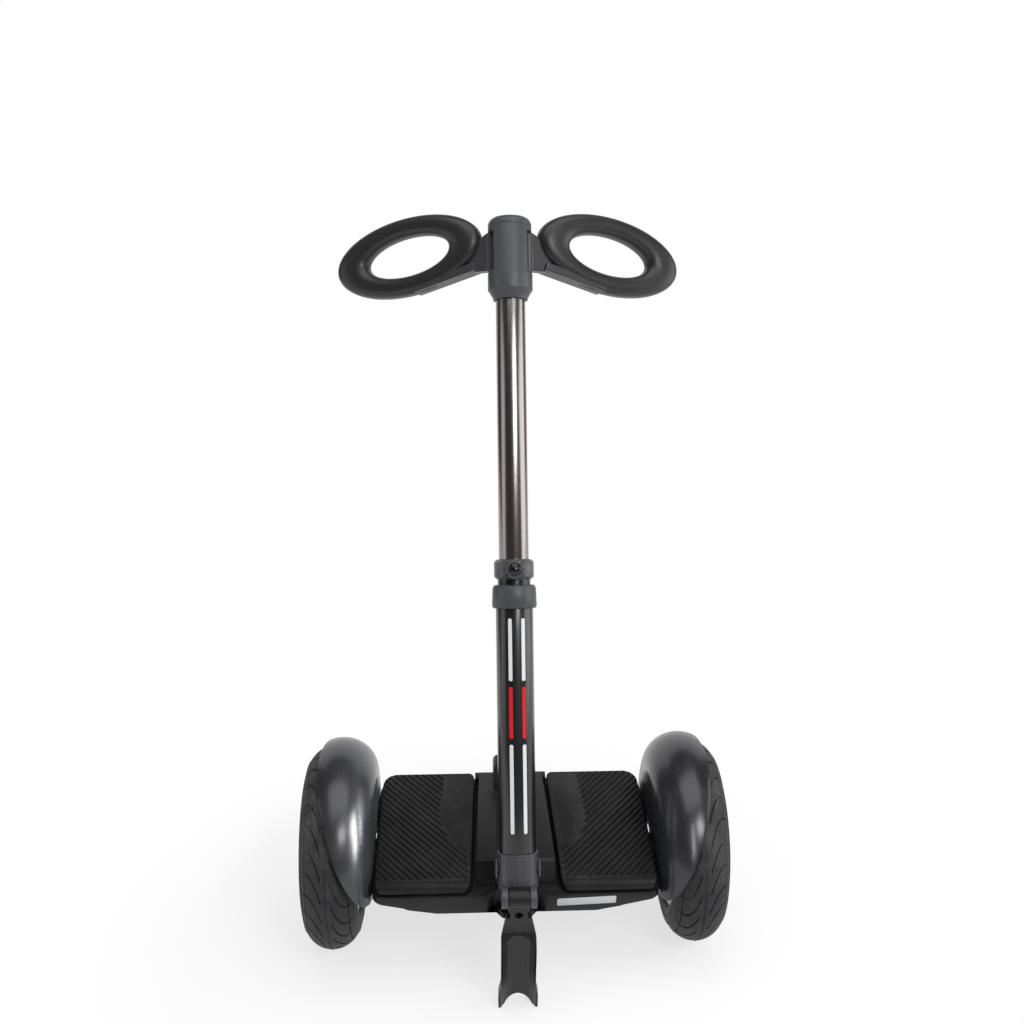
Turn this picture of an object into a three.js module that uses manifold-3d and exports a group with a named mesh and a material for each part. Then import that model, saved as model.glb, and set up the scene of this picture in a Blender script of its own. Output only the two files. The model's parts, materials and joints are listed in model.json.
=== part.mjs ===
// Self balancing personal transporter, in millimetres.
// Z is up, the front faces -Y, and +X is on the right as seen from the front.
// The deck tips forward on its prop stand, and the stem rakes back from the nose.

import * as THREE from "three";
import { mergeVertices } from "three/addons/utils/BufferGeometryUtils.js";
import Module from "manifold-3d";

const wasm = await Module();
wasm.setup();

// Clearances
const clearance = 0.3; // between pieces that touch on the real object
const runningGap = 0.6; // between faces that turn past each other
const overrun = 4; // how far a cutting tool runs past what it cuts
const weldDistance = 0.001;
const smallEdge = 1; // chamfer of small turned pieces

// Stance, in degrees
const noseDownAngle = 8;
const stemRakeAngle = 27.4; // back from the deck's own upright
const standLeanAngle = 14.5; // the leg leans back under the nose, from the upright

// Wheels, turned about X with outward positive
const tyreRadius = 130;
const tyreHalfWidth = 35;
const tyreSectionRadius = 34; // from the middle of the section to the crown
const tyreWall = 6;
const tyreBeadAngle = 104; // degrees round the section, from the crown to the bead
const tyreLiningAngle = 96; // the same on the inside
const rimFlangeRadius = 86;
const rimFlangeThickness = 3;
const rimHalfWidth = 30;
const rimSeatRadius = 79.7;
const drumRadius = 74; // inside of the motor drum
const rimFaceThickness = 5;
const rimFaceDepth = 20; // the outer face stands this far out from the middle
const rimBossRadius = 22;
const rimBossHeight = 7;
const rimPocketCount = 6;
const rimPocketDepth = 2.5;
const rimPocketInner = 31;
const rimPocketOuter = 62;
const rimPocketAngle = 42; // degrees
const magnetThickness = 4.5;
const magnetHalfLength = 15;
const statorHalfLength = 12;
const statorToothCount = 18;
const statorSlotDepth = 12;
const statorSlotShare = 0.4;
const innerCoverThickness = 5;
const innerCoverBossRadius = 18;
const innerCoverBossHeight = 8;
const axleRadius = 8;

// Fenders, a shell over the tyre whose flat inner side lies against the deck
const fenderReach = 54.8; // from the middle of the wheel to that side
const fenderBulge = 3; // how far the shell stands in over the deck, above the axle
const fenderFlatRadius = 58; // the inner side is flat up to here
const fenderSectionOffset = 10; // of the shell's section from the tyre's, towards the deck
const fenderSectionHeight = 44;
const fenderWall = 3;
const fenderHubNotchRadius = 22;
const fenderTipAngle = -69; // degrees round the section, at the front and rear tips
const fenderCrownAngle = 30; // degrees round the section, over the axle
const fenderEdgeShare = 0.58; // how fast the outer edge opens from its tips
const fenderBulgeShare = 3; // power of the bulge's rise from the tips

// Deck housing, measured forward of the axle and up from it, square to the deck
const deckHalfWidth = 178.5;
const deckRear = -114;
const deckFront = 122;
const lipLean = 3; // the lip's foot lies this far behind its edge
const deckTop = 18;
const partingUp = -10;
const deckSkin = 4.5;
const deckWall = 9;
const deckRearCorner = 34;
const deckFrontCorner = 20;
const deckEdge = 6;
const humpRearHalfWidth = 43;
const humpFrontHalfWidth = 50;
const humpTop = 45;
const humpDraft = 4;
const humpFacetTop = 86; // forward
const humpFacetFoot = 104; // forward
const humpFacetUp = 31;
const humpEdge = 7;
const valleyHalfWidth = 21;
const valleyDepth = 7;
const valleyRear = -66; // forward
const podHalfWidth = 24;
const podTop = 65;
const podRear = -110; // forward
const podFront = -64; // forward
const podEdge = 14;
const podShoulder = 8;
const noseBossRadius = 24;
const noseBossRear = 84; // forward
const noseFront = 125; // forward
const noseRootHalfWidth = 38;
const noseTipHalfWidth = 24;
const noseTop = 34;
const noseBottom = -16;
const steeringUp = 39; // height of the steering axis over the axle
const undersideUp = -45;
const undersideInset = 34; // from the deck's side, at the floor
const undersideRimInset = 6; // the same at the parting
const undersideFront = 74; // forward
const undersideRear = -76; // forward
const undersideEdge = 12;
const floorThickness = 4;

// Foot pads
const padTop = 32;
const padTravel = 2;
const padRear = -107; // forward
const padFront = 119; // forward
const padFrontRound = 11;
const padRearRound = 3;
const padRearInner = 49.5;
const padFrontInner = 56;
const padSideMargin = 4; // from the pad's outer edge to the deck's side
const padRearOuterCorner = 26;
const padCorner = 13;
const padRibCount = 32;
const padRibWidth = 2.6;
const padRibDepth = 1.5;
const padRibAngle = 53; // degrees from across the deck
const padSmoothReach = 44; // the smooth patch reaches this far out from the inner edge
const padSmoothRearReach = 34; // the same at the rear
const padSmoothFront = 52; // forward
const padMargin = 7;
const padPegRadius = 4;
const padPegLength = 9;
const padPegInset = 24;
const padBladeHalfLength = 6;
const padBladeThickness = 2;
const padBladeDrop = 9;
const sensorHalfLength = 10;
const sensorHalfDepth = 7;
const sensorHeight = 9;
const sensorClampGap = 13.5;

// Inside the housing
const beamEndRoom = 32; // from the deck's side
const beamHalfDepth = 45;
const beamTop = -12;
const beamThickness = 8;
const beamLightHoleRadius = 20;
const beamLightHoleSpacing = 55;
const clampHalfLength = 18;
const clampHalfDepth = 19;
const clampTop = 12;
const clampEdge = 6;
const batteryEndRoom = 26.5; // from the end of the beam
const batteryHalfDepth = 52;
const batteryHeight = 20;
const batteryEdge = 6;
const supportRadius = 7;
const supportInset = 16; // from the end of the beam
const supportForward = 34;
const boardEndRoom = 22.5; // from the inner end of the axle
const boardHalfDepth = 38;
const boardThickness = 2;
const heatSinkHalfLength = 48;
const heatSinkHalfDepth = 26;
const heatSinkHeight = 16;
const heatSinkFinCount = 7;
const heatSinkGrooveShare = 0.5;

// Steering head
const spindleRadius = 10;
const spindleFront = 150; // forward
const bearingRadius = 17;
const bearingLength = 16;

// Stem, in its own frame: up the stem from the middle of the socket's top edge
const socketForward = 130; // of the axle, square to the deck
const socketUp = 96;
const socketRadius = 24.5;
const socketHeight = 44;
const socketFloorDrop = 31;
const socketHubRadius = 21;
const socketHubFront = 160; // forward
const socketHubNose = 12; // radius of the hub's front end
const headConeRadius = 12; // the nose and the hub meet in a cone outside this radius
const headConeShare = 0.58; // depth of that cone over its radius
const crossBoltDrop = 20.7;
const crossBoltRadius = 4;
const crossCapRadius = 11;
const crossCapReach = 27.5; // from the middle of the stem
const lowerTubeRadius = 22.5;
const lowerTubeBore = 20;
const lowerTubeDrop = 30; // how far it stands in the socket
const lowerTubeShown = 289.5;
const lowerCollarHeight = 28;
const lowerCollarRadius = 27;
const collarLip = 4;
const collarEdge = 3.5;
const collarSpacing = 6.5;
const lockCollarHeight = 24;
const lockCollarRadius = 24;
const lockBossRadius = 11.6;
const lockBossReach = 28.5; // from the middle of the stem
const lockButtonRadius = 7.9;
const lockButtonReach = 32; // from the middle of the stem
const lockButtonTravel = 3;
const lockButtonDome = 3;
const lockButtonShank = 5;
const lockSpringRoom = 0.9; // for the spring behind the button, pressed flat
const sleeveDrop = 44; // how far the guide sleeve reaches into the lower tube
const upperTubeRadius = 18;
const upperTubeBore = 15.5;
const upperTubeShown = 324;
const upperTubeInHub = 22;
const endBushHeight = 16;
const endPlugHeight = 14;

// Handle hub
const hubRadius = 26.5;
const hubSkirtRadius = 27.2;
const hubSkirtHeight = 22;
const hubNeckRadius = 21;
const hubNeckHeight = 10;
const hubHeight = 79;
const hubCoreBore = 11;
const capHeight = 12;
const capEdge = 4;
const capPlugHeight = 5;
const pocketBottom = 25; // over the hub's lower edge
const pocketHeight = 47;
const pocketFrontX = 20.5;
const pocketRearX = 16;
const wingHingeX = 22.5;
const wingPinRadius = 2.5;
const wingPinSeat = 9; // how far the pin stands in the hub below the pocket

// Handle wings, in a wing frame: outward along X and up the stem along Z
const wingSweepAngle = 20;
const knuckleRadius = 7;
const padCentreOut = 107.5; // from the hinge
const padCentreUp = 52; // over the hub's lower edge
const padDroopAngle = 10;
const gripHalfLength = 96.5;
const gripHalfHeight = 48;
const holeHalfLength = 54.5;
const holeHalfHeight = 24;
const gripHalfThickness = 15;
const gripSideThicknessShare = 0.9;
const gripFullness = 0.8; // power of the section's curve, under 1 for a fuller section
const webHalfThickness = 6;
const webReach = 34;
const webTopDrop = 5;
const armHalfThickness = 12.5;
const armStartAlong = -84; // along the grip, from its middle
const armStartUp = -36;
const armEndAlong = 5;
const armEndUp = -42.8;
const armStartHeight = 10;
const armEndHeight = 13;

// Prop stand, in a leg frame: the leg hangs down -Z from its hinge, with its front at -Y
const hingeDrop = 48; // below the socket's top, along the stem
const hingeForward = 30; // in front of the stem's middle
const hingeRadius = 12;
const hingePinRadius = 4;
const earInner = 12.9;
const earOuter = 20.8;
const tongueHalfWidth = 12.4;
const shoulderDrop = 30;
const neckHalfWidth = 15.5;
const neckFront = -4.8; // keeps clear of the socket when the leg is folded up
const legBack = 7;
const neckEnd = 59;
const channelStart = 56;
const channelLipStart = 72;
const legHalfWidth = 21.2;
const channelRadius = 23.1; // hugs the lower tube when the leg is folded up
const channelBackRadius = 30.5;
const channelLipY = -21.5;
const footFlareStart = 134;
const footFlareEnd = 150;
const footHalfWidth = 24.2;
const footBackRadius = 33;
const footArchRadius = 20;
const footArchHeight = 14;
const hexHoleDrop = 24.5;
const hexHoleRadius = 4.6;
const legEdge = 2;
const channelAxisY = -hingeForward; // so that the folded leg lies round the tube
const neckFrontForward = -neckFront;
const legBackForward = -legBack;
const channelLipForward = -channelLipY;

// Power button and charge inlet, on the rear pod
const powerButtonRadius = 9;
const powerButtonForward = -86;
const powerButtonProud = 1.8;
const powerButtonTravel = 1.5;
const powerButtonDepth = 6;
const chargeUp = 34;
const chargeRadius = 8.5;
const chargeRim = 2;
const chargeDepth = 12;
const chargeRecess = 8;
const chargePinRadius = 1.1;
const chargePinShare = 0.42; // of the inlet's radius, from pin to pin

// Facets
const wheelSides = 28;
const tubeSides = 20;
const rodSides = 12;
const smallSides = 8;
const hexSides = 6;
const curveSteps = 4;
const arcSteps = 1; // of the rim's pockets
const tyreSteps = 6; // round the outside of the section
const tyreLiningSteps = 2;
const fenderRoundSteps = 16;
const fenderSectionSteps = 6;
const gripRoundSteps = 32;
const gripSectionSteps = 10;

// Finishes
const finishes = {
  tyreRubber: { color: 0x17181a, roughness: 0.85, metalness: 0 },
  padRubber: { color: 0x1d1e20, roughness: 0.8, metalness: 0 },
  gripFoam: { color: 0x262628, roughness: 0.7, metalness: 0 },
  fenderGloss: { color: 0x2b3038, roughness: 0.3, metalness: 0 },
  shellPlastic: { color: 0x26282b, roughness: 0.5, metalness: 0 },
  castGrey: { color: 0x3b3d41, roughness: 0.55, metalness: 0 },
  gloss: { color: 0x0c0c0e, roughness: 0.2, metalness: 0 },
  anodised: { color: 0x4a4440, roughness: 0.3, metalness: 1 },
  alloy: { color: 0xa9adb2, roughness: 0.4, metalness: 1 },
  steel: { color: 0x8b8f94, roughness: 0.35, metalness: 1 },
  copper: { color: 0x9a5a35, roughness: 0.5, metalness: 1 },
  magnet: { color: 0x5c5e62, roughness: 0.5, metalness: 1 },
  battery: { color: 0x2f5e8c, roughness: 0.6, metalness: 0 },
  board: { color: 0x1f5a37, roughness: 0.6, metalness: 0 },
  amberRubber: { color: 0x5a4a2e, roughness: 0.8, metalness: 0 },
};

const radians = THREE.MathUtils.degToRad;

// A closed geometry as a solid whose faces point out
function solidOf(geometry) {
  const bare = new THREE.BufferGeometry();
  bare.setAttribute("position", geometry.getAttribute("position"));
  bare.setIndex(geometry.getIndex());
  const merged = mergeVertices(bare, weldDistance);
  const corners = merged.getIndex().array;
  const kept = [];
  for (let i = 0; i < corners.length; i += 3) {
    const [a, b, c] = corners.slice(i, i + 3);
    if (a !== b && b !== c && c !== a) kept.push(a, b, c);
  }
  const build = (triangles) => new wasm.Manifold(new wasm.Mesh({
    numProp: 3,
    vertProperties: new Float32Array(merged.getAttribute("position").array),
    triVerts: new Uint32Array(triangles),
  }));
  const solid = build(kept);
  return solid.volume() < 0 ? build(kept.reverse()) : solid;
}

function geometryOf(solid) {
  const mesh = solid.getMesh();
  const geometry = new THREE.BufferGeometry();
  geometry.setAttribute("position", new THREE.BufferAttribute(mesh.vertProperties, 3));
  geometry.setIndex(new THREE.BufferAttribute(mesh.triVerts, 1));
  return geometry;
}

function join(first, ...rest) {
  return geometryOf(rest.reduce((sum, next) => sum.add(solidOf(next)), solidOf(first)));
}

function cut(first, ...tools) {
  return geometryOf(tools.reduce((sum, next) => sum.subtract(solidOf(next)), solidOf(first)));
}

function common(first, ...rest) {
  return geometryOf(rest.reduce((sum, next) => sum.intersect(solidOf(next)), solidOf(first)));
}

function mirrored(geometry) {
  return geometry.clone().applyMatrix4(new THREE.Matrix4().makeScale(-1, 1, 1));
}

// Turned pieces: each profile point is a radius and a place along the axis
function turnedAlongY(profile, sides) {
  return new THREE.LatheGeometry(profile.map(([r, h]) => new THREE.Vector2(r, h)), sides);
}

function turnedAlongZ(profile, sides) {
  return turnedAlongY(profile, sides).rotateX(Math.PI / 2);
}

function turnedAlongX(profile, sides) {
  return turnedAlongY(profile, sides).rotateZ(-Math.PI / 2);
}

function rodProfile(radius, from, to, edge = 0) {
  return [
    [0, from], [radius - edge, from], [radius, from + edge],
    [radius, to - edge], [radius - edge, to], [0, to],
  ];
}

function tubeProfile(radius, bore, from, to, edge = 0) {
  return [
    [bore, from], [radius - edge, from], [radius, from + edge],
    [radius, to - edge], [radius - edge, to], [bore, to], [bore, from],
  ];
}

// A flat outline whose corners are [x, y, rounding]
function outline(corners) {
  const shape = new THREE.Shape();
  const count = corners.length;
  corners.forEach(([x, y, rounding = 0], i) => {
    const corner = new THREE.Vector2(x, y);
    const before = new THREE.Vector2(...corners[(i + count - 1) % count]);
    const after = new THREE.Vector2(...corners[(i + 1) % count]);
    const arrive = corner.clone().add(before.sub(corner).setLength(rounding));
    const leave = corner.clone().add(after.sub(corner).setLength(rounding));
    if (i === 0) shape.moveTo(arrive.x, arrive.y);
    else shape.lineTo(arrive.x, arrive.y);
    if (rounding > 0) shape.quadraticCurveTo(x, y, leave.x, leave.y);
  });
  shape.closePath();
  return shape;
}

function extruded(shape, depth, curveSegments = curveSteps) {
  return new THREE.ExtrudeGeometry(shape, { depth, bevelEnabled: false, curveSegments });
}

const axes = {
  x: new THREE.Vector3(1, 0, 0),
  z: new THREE.Vector3(0, 0, 1),
  back: new THREE.Vector3(0, -1, 0),
  left: new THREE.Vector3(-1, 0, 0),
  down: new THREE.Vector3(0, 0, -1),
};

// A side outline of (forward, up), as wide as from one X to the other
function fromSide(shape, fromX, toX) {
  const turn = new THREE.Matrix4().makeBasis(axes.back, axes.z, axes.left);
  return extruded(shape, toX - fromX).applyMatrix4(turn).translate(toX, 0, 0);
}

// A plan outline of (x, forward), between two heights
function fromAbove(shape, low, high) {
  const turn = new THREE.Matrix4().makeBasis(axes.x, axes.back, axes.down);
  return extruded(shape, high - low).applyMatrix4(turn).translate(0, 0, high);
}

// A front outline of (x, up), between two distances forward
function fromFront(shape, rear, front) {
  const turn = new THREE.Matrix4().makeBasis(axes.x, axes.z, axes.back);
  return extruded(shape, front - rear).applyMatrix4(turn).translate(0, -rear, 0);
}

function box(fromX, toX, rear, front, low, high) {
  const block = new THREE.BoxGeometry(toX - fromX, front - rear, high - low);
  return block.translate((fromX + toX) / 2, -(rear + front) / 2, (low + high) / 2);
}

function add(parent, name, geometry, finish) {
  const shown = geometryOf(solidOf(geometry)).toNonIndexed();
  shown.computeVertexNormals();
  const mesh = new THREE.Mesh(shown, new THREE.MeshStandardMaterial(finishes[finish]));
  mesh.name = name;
  parent.add(mesh);
  return mesh;
}

// Scene graph: the deck tips about the axle, the stem rakes back from the deck
const transporter = new THREE.Group();
const stance = new THREE.Group();
transporter.add(stance);

const deck = new THREE.Group();
deck.position.z = tyreRadius;
deck.rotation.x = radians(noseDownAngle);
stance.add(deck);

const stem = new THREE.Group();
stem.position.set(0, -socketForward, socketUp);
stem.rotation.x = -radians(stemRakeAngle);
deck.add(stem);
stem.updateMatrix();
const deckToStem = stem.matrix.clone().invert();

// Wheels and hub motors
const wheelX = deckHalfWidth + clearance + fenderReach;
const sectionMiddle = tyreRadius - tyreSectionRadius;
const beamHalfLength = deckHalfWidth - beamEndRoom;
const axleInnerEnd = beamHalfLength - 2 * clampHalfLength;

function tyreGeometry() {
  const profile = [];
  for (let i = 0; i <= tyreSteps; i += 1) {
    const angle = radians(tyreBeadAngle) * ((2 * i) / tyreSteps - 1);
    profile.push([
      sectionMiddle + tyreSectionRadius * Math.cos(angle),
      tyreHalfWidth * Math.sin(angle),
    ]);
  }
  const flangeTop = rimFlangeRadius + clearance;
  const flangeInside = rimHalfWidth - rimFlangeThickness - clearance;
  const seat = rimSeatRadius + clearance;
  profile.push([flangeTop, rimHalfWidth], [flangeTop, flangeInside]);
  profile.push([seat, flangeInside], [seat, flangeInside - tyreWall]);
  for (let i = 0; i <= tyreLiningSteps; i += 1) {
    const angle = radians(tyreLiningAngle) * (1 - (2 * i) / tyreLiningSteps);
    profile.push([
      sectionMiddle + (tyreSectionRadius - tyreWall) * Math.cos(angle),
      (tyreHalfWidth - tyreWall) * Math.sin(angle),
    ]);
  }
  profile.push([seat, -(flangeInside - tyreWall)], [seat, -flangeInside]);
  profile.push([flangeTop, -flangeInside], [flangeTop, -rimHalfWidth], profile[0]);
  return turnedAlongX(profile, wheelSides);
}

function rimGeometry() {
  const face = rimFaceDepth;
  const faceInside = face - rimFaceThickness;
  const flangeInside = rimHalfWidth - rimFlangeThickness;
  const rim = turnedAlongX([
    [0, face + rimBossHeight], [rimBossRadius - rimBossHeight / 2, face + rimBossHeight],
    [rimBossRadius, face + smallEdge], [drumRadius - rimFaceThickness, face], [drumRadius, flangeInside],
    [rimFlangeRadius, rimHalfWidth],
    [rimFlangeRadius, flangeInside], [rimSeatRadius, flangeInside],
    [rimSeatRadius, -flangeInside], [rimFlangeRadius, -flangeInside],
    [rimFlangeRadius, -rimHalfWidth], [drumRadius, -rimHalfWidth],
    [drumRadius, faceInside], [0, faceInside],
  ], wheelSides);
  const half = radians(rimPocketAngle) / 2;
  const pocketOutline = new THREE.Shape();
  pocketOutline.absarc(0, 0, rimPocketOuter, -half, half, false);
  pocketOutline.absarc(0, 0, rimPocketInner, half, -half, true);
  pocketOutline.closePath();
  const pocket = extruded(pocketOutline, rimPocketDepth + overrun, arcSteps).rotateY(Math.PI / 2);
  const pockets = [];
  for (let i = 0; i < rimPocketCount; i += 1) {
    const turned = pocket.clone().rotateX((2 * Math.PI * i) / rimPocketCount);
    pockets.push(turned.translate(face - rimPocketDepth, 0, 0));
  }
  return cut(rim, ...pockets);
}

function statorGeometry() {
  const outer = drumRadius - clearance - magnetThickness - runningGap;
  const pitch = (2 * Math.PI) / statorToothCount;
  const slot = pitch * statorSlotShare;
  const star = new THREE.Shape();
  for (let i = 0; i < statorToothCount; i += 1) {
    const start = i * pitch;
    const ends = [
      [outer, start], [outer, start + pitch - slot],
      [outer - statorSlotDepth, start + pitch - slot], [outer - statorSlotDepth, start + pitch],
    ];
    for (const [radius, angle] of ends) {
      const x = radius * Math.cos(angle);
      const y = radius * Math.sin(angle);
      if (i === 0 && angle === 0) star.moveTo(x, y);
      else star.lineTo(x, y);
    }
  }
  star.closePath();
  const bore = new THREE.Path();
  bore.absarc(0, 0, axleRadius + clearance, 0, 2 * Math.PI, true);
  star.holes.push(bore);
  return extruded(star, 2 * statorHalfLength, smallSides)
    .translate(0, 0, -statorHalfLength)
    .rotateY(Math.PI / 2);
}

function buildWheel(side, sign) {
  const wheel = new THREE.Group();
  wheel.position.x = sign * wheelX;
  deck.add(wheel);
  const sided = (geometry) => (sign < 0 ? mirrored(geometry) : geometry);
  const magnetRadius = drumRadius - clearance;
  const faceInside = rimFaceDepth - rimFaceThickness;
  const coverOut = clearance - rimHalfWidth + innerCoverThickness;
  const bossEnd = coverOut - innerCoverThickness - innerCoverBossHeight;
  const axleBore = axleRadius + clearance;

  add(wheel, `tyre_${side}`, sided(tyreGeometry()), "tyreRubber");
  add(wheel, `wheel_rim_${side}`, sided(rimGeometry()), "alloy");
  add(wheel, `magnet_ring_${side}`, sided(turnedAlongX(tubeProfile(
    magnetRadius, magnetRadius - magnetThickness, -magnetHalfLength, magnetHalfLength - clearance,
  ), wheelSides)), "magnet");
  add(wheel, `motor_cover_${side}`, sided(turnedAlongX([
    [axleBore, coverOut], [magnetRadius, coverOut], [magnetRadius, coverOut - innerCoverThickness],
    [innerCoverBossRadius + innerCoverBossHeight, coverOut - innerCoverThickness],
    [innerCoverBossRadius, bossEnd], [axleBore, bossEnd], [axleBore, coverOut],
  ], wheelSides)), "alloy");
  add(wheel, `stator_${side}`, sided(statorGeometry()), "copper");
  add(wheel, `axle_${side}`, sided(turnedAlongX(
    rodProfile(axleRadius, axleInnerEnd - wheelX, faceInside - clearance, smallEdge), rodSides,
  )), "steel");
}

// A shell that follows the tyre's section, with its outer edge sweeping in to the two tips
function fenderGeometry() {
  const tip = radians(fenderTipAngle);
  const crown = radians(fenderCrownAngle);
  const rows = [];
  for (let i = 0; i <= fenderRoundSteps; i += 1) {
    const round = (Math.PI * i) / fenderRoundSteps;
    const edge = tip + (crown - tip) * Math.sin(round) ** fenderEdgeShare;
    const bulge = fenderBulge * Math.sin(round) ** fenderBulgeShare;
    const outer = [];
    const inner = [];
    for (const [line, depth] of [[outer, 0], [inner, fenderWall]]) {
      const width = fenderReach + bulge - fenderSectionOffset - depth;
      const height = fenderSectionHeight - depth;
      line.push([fenderHubNotchRadius, depth - fenderReach], [fenderFlatRadius, depth - fenderReach]);
      for (let j = 0; j <= fenderSectionSteps; j += 1) {
        const angle = -Math.PI / 2 + ((edge + Math.PI / 2) * j) / fenderSectionSteps;
        line.push([sectionMiddle + height * Math.cos(angle), width * Math.sin(angle) - fenderSectionOffset]);
      }
    }
    const loop = [...outer, ...inner.reverse()];
    rows.push(loop.map(([r, x]) => new THREE.Vector3(x, -r * Math.cos(round), r * Math.sin(round))));
  }
  return loftOf(rows, false);
}

// Joins loops of equal length, into a ring or into a bar with flat ends
function loftOf(rows, isRing) {
  const loopLength = rows[0].length;
  const points = rows.flat();
  const triangles = [];
  const rowPairs = isRing ? rows.length : rows.length - 1;
  for (let i = 0; i < rowPairs; i += 1) {
    for (let j = 0; j < loopLength; j += 1) {
      const next = ((i + 1) % rows.length) * loopLength;
      const here = i * loopLength;
      const k = (j + 1) % loopLength;
      triangles.push(here + j, next + j, next + k, here + j, next + k, here + k);
    }
  }
  if (!isRing) {
    const last = (rows.length - 1) * loopLength;
    const half = loopLength / 2;
    for (let j = 0; j < half - 1; j += 1) {
      const across = loopLength - 1 - j;
      triangles.push(j, j + 1, across, j + 1, across - 1, across);
      triangles.push(last + j, last + across, last + j + 1);
      triangles.push(last + j + 1, last + across, last + across - 1);
    }
  }
  const geometry = new THREE.BufferGeometry();
  const numbers = new Float32Array(points.flatMap((point) => point.toArray()));
  geometry.setAttribute("position", new THREE.BufferAttribute(numbers, 3));
  geometry.setIndex(triangles);
  return geometry;
}

function buildFender(side, sign) {
  const fender = fenderGeometry();
  const mesh = add(deck, `fender_${side}`, sign < 0 ? mirrored(fender) : fender, "fenderGloss");
  mesh.position.x = sign * wheelX;
}

// Deck housing
const headConeDepth = (noseBossRadius - headConeRadius) * headConeShare;
const padBottom = deckTop + padTravel + clearance;
const padInnerMiddle = (padRearInner + padFrontInner) / 2;
const padOuter = deckHalfWidth - padSideMargin;
const undersideHalfWidth = deckHalfWidth - undersideInset;
const undersideRimHalfWidth = deckHalfWidth - undersideRimInset;
const batteryHalfLength = beamHalfLength - batteryEndRoom;
const supportX = beamHalfLength - supportInset;
const boardHalfLength = axleInnerEnd - boardEndRoom;
const sensorX = axleInnerEnd - clearance - sensorClampGap - sensorHalfLength;
const pegHoleFloor = padBottom - padPegLength - padTravel - runningGap;
const pegPlaces = [padRear + padPegInset, padFront - padPegInset].flatMap((forward) => [
  [padFrontInner + padPegInset, forward], [padOuter - padPegInset, forward],
]);

function humpGeometry() {
  const side = outline([
    [deckRear, deckTop - deckSkin / 2], [deckRear + humpDraft, humpTop, humpEdge],
    [humpFacetTop, humpTop, humpEdge], [humpFacetFoot, humpFacetUp, smallEdge],
    [deckFront, deckTop - smallEdge],
    [deckFront, deckTop - deckSkin / 2],
  ]);
  const widest = humpFrontHalfWidth + humpDraft;
  const front = outline([
    [-widest, deckTop - deckSkin], [widest, deckTop - deckSkin],
    [humpFrontHalfWidth, humpTop, humpEdge], [-humpFrontHalfWidth, humpTop, humpEdge],
  ]);
  const plan = outline([
    [-humpRearHalfWidth, deckRear], [humpRearHalfWidth, deckRear],
    [humpFrontHalfWidth, deckFront], [-humpFrontHalfWidth, deckFront],
  ]);
  return common(
    fromSide(side, -widest, widest),
    fromFront(front, deckRear, deckFront),
    fromAbove(plan, partingUp, humpTop + overrun),
  );
}

function podGeometry() {
  const side = outline([
    [podRear, partingUp], [podRear + humpDraft, podTop, podShoulder],
    [(podRear + podFront) / 2, podTop, podShoulder], [podFront, humpTop - valleyDepth, humpEdge],
    [podFront, partingUp],
  ]);
  const front = outline([
    [-podHalfWidth, partingUp], [podHalfWidth, partingUp], [podHalfWidth, podTop, podEdge],
    [-podHalfWidth, podTop, podEdge],
  ]);
  return common(fromSide(side, -podHalfWidth, podHalfWidth), fromFront(front, deckRear, noseFront));
}

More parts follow.
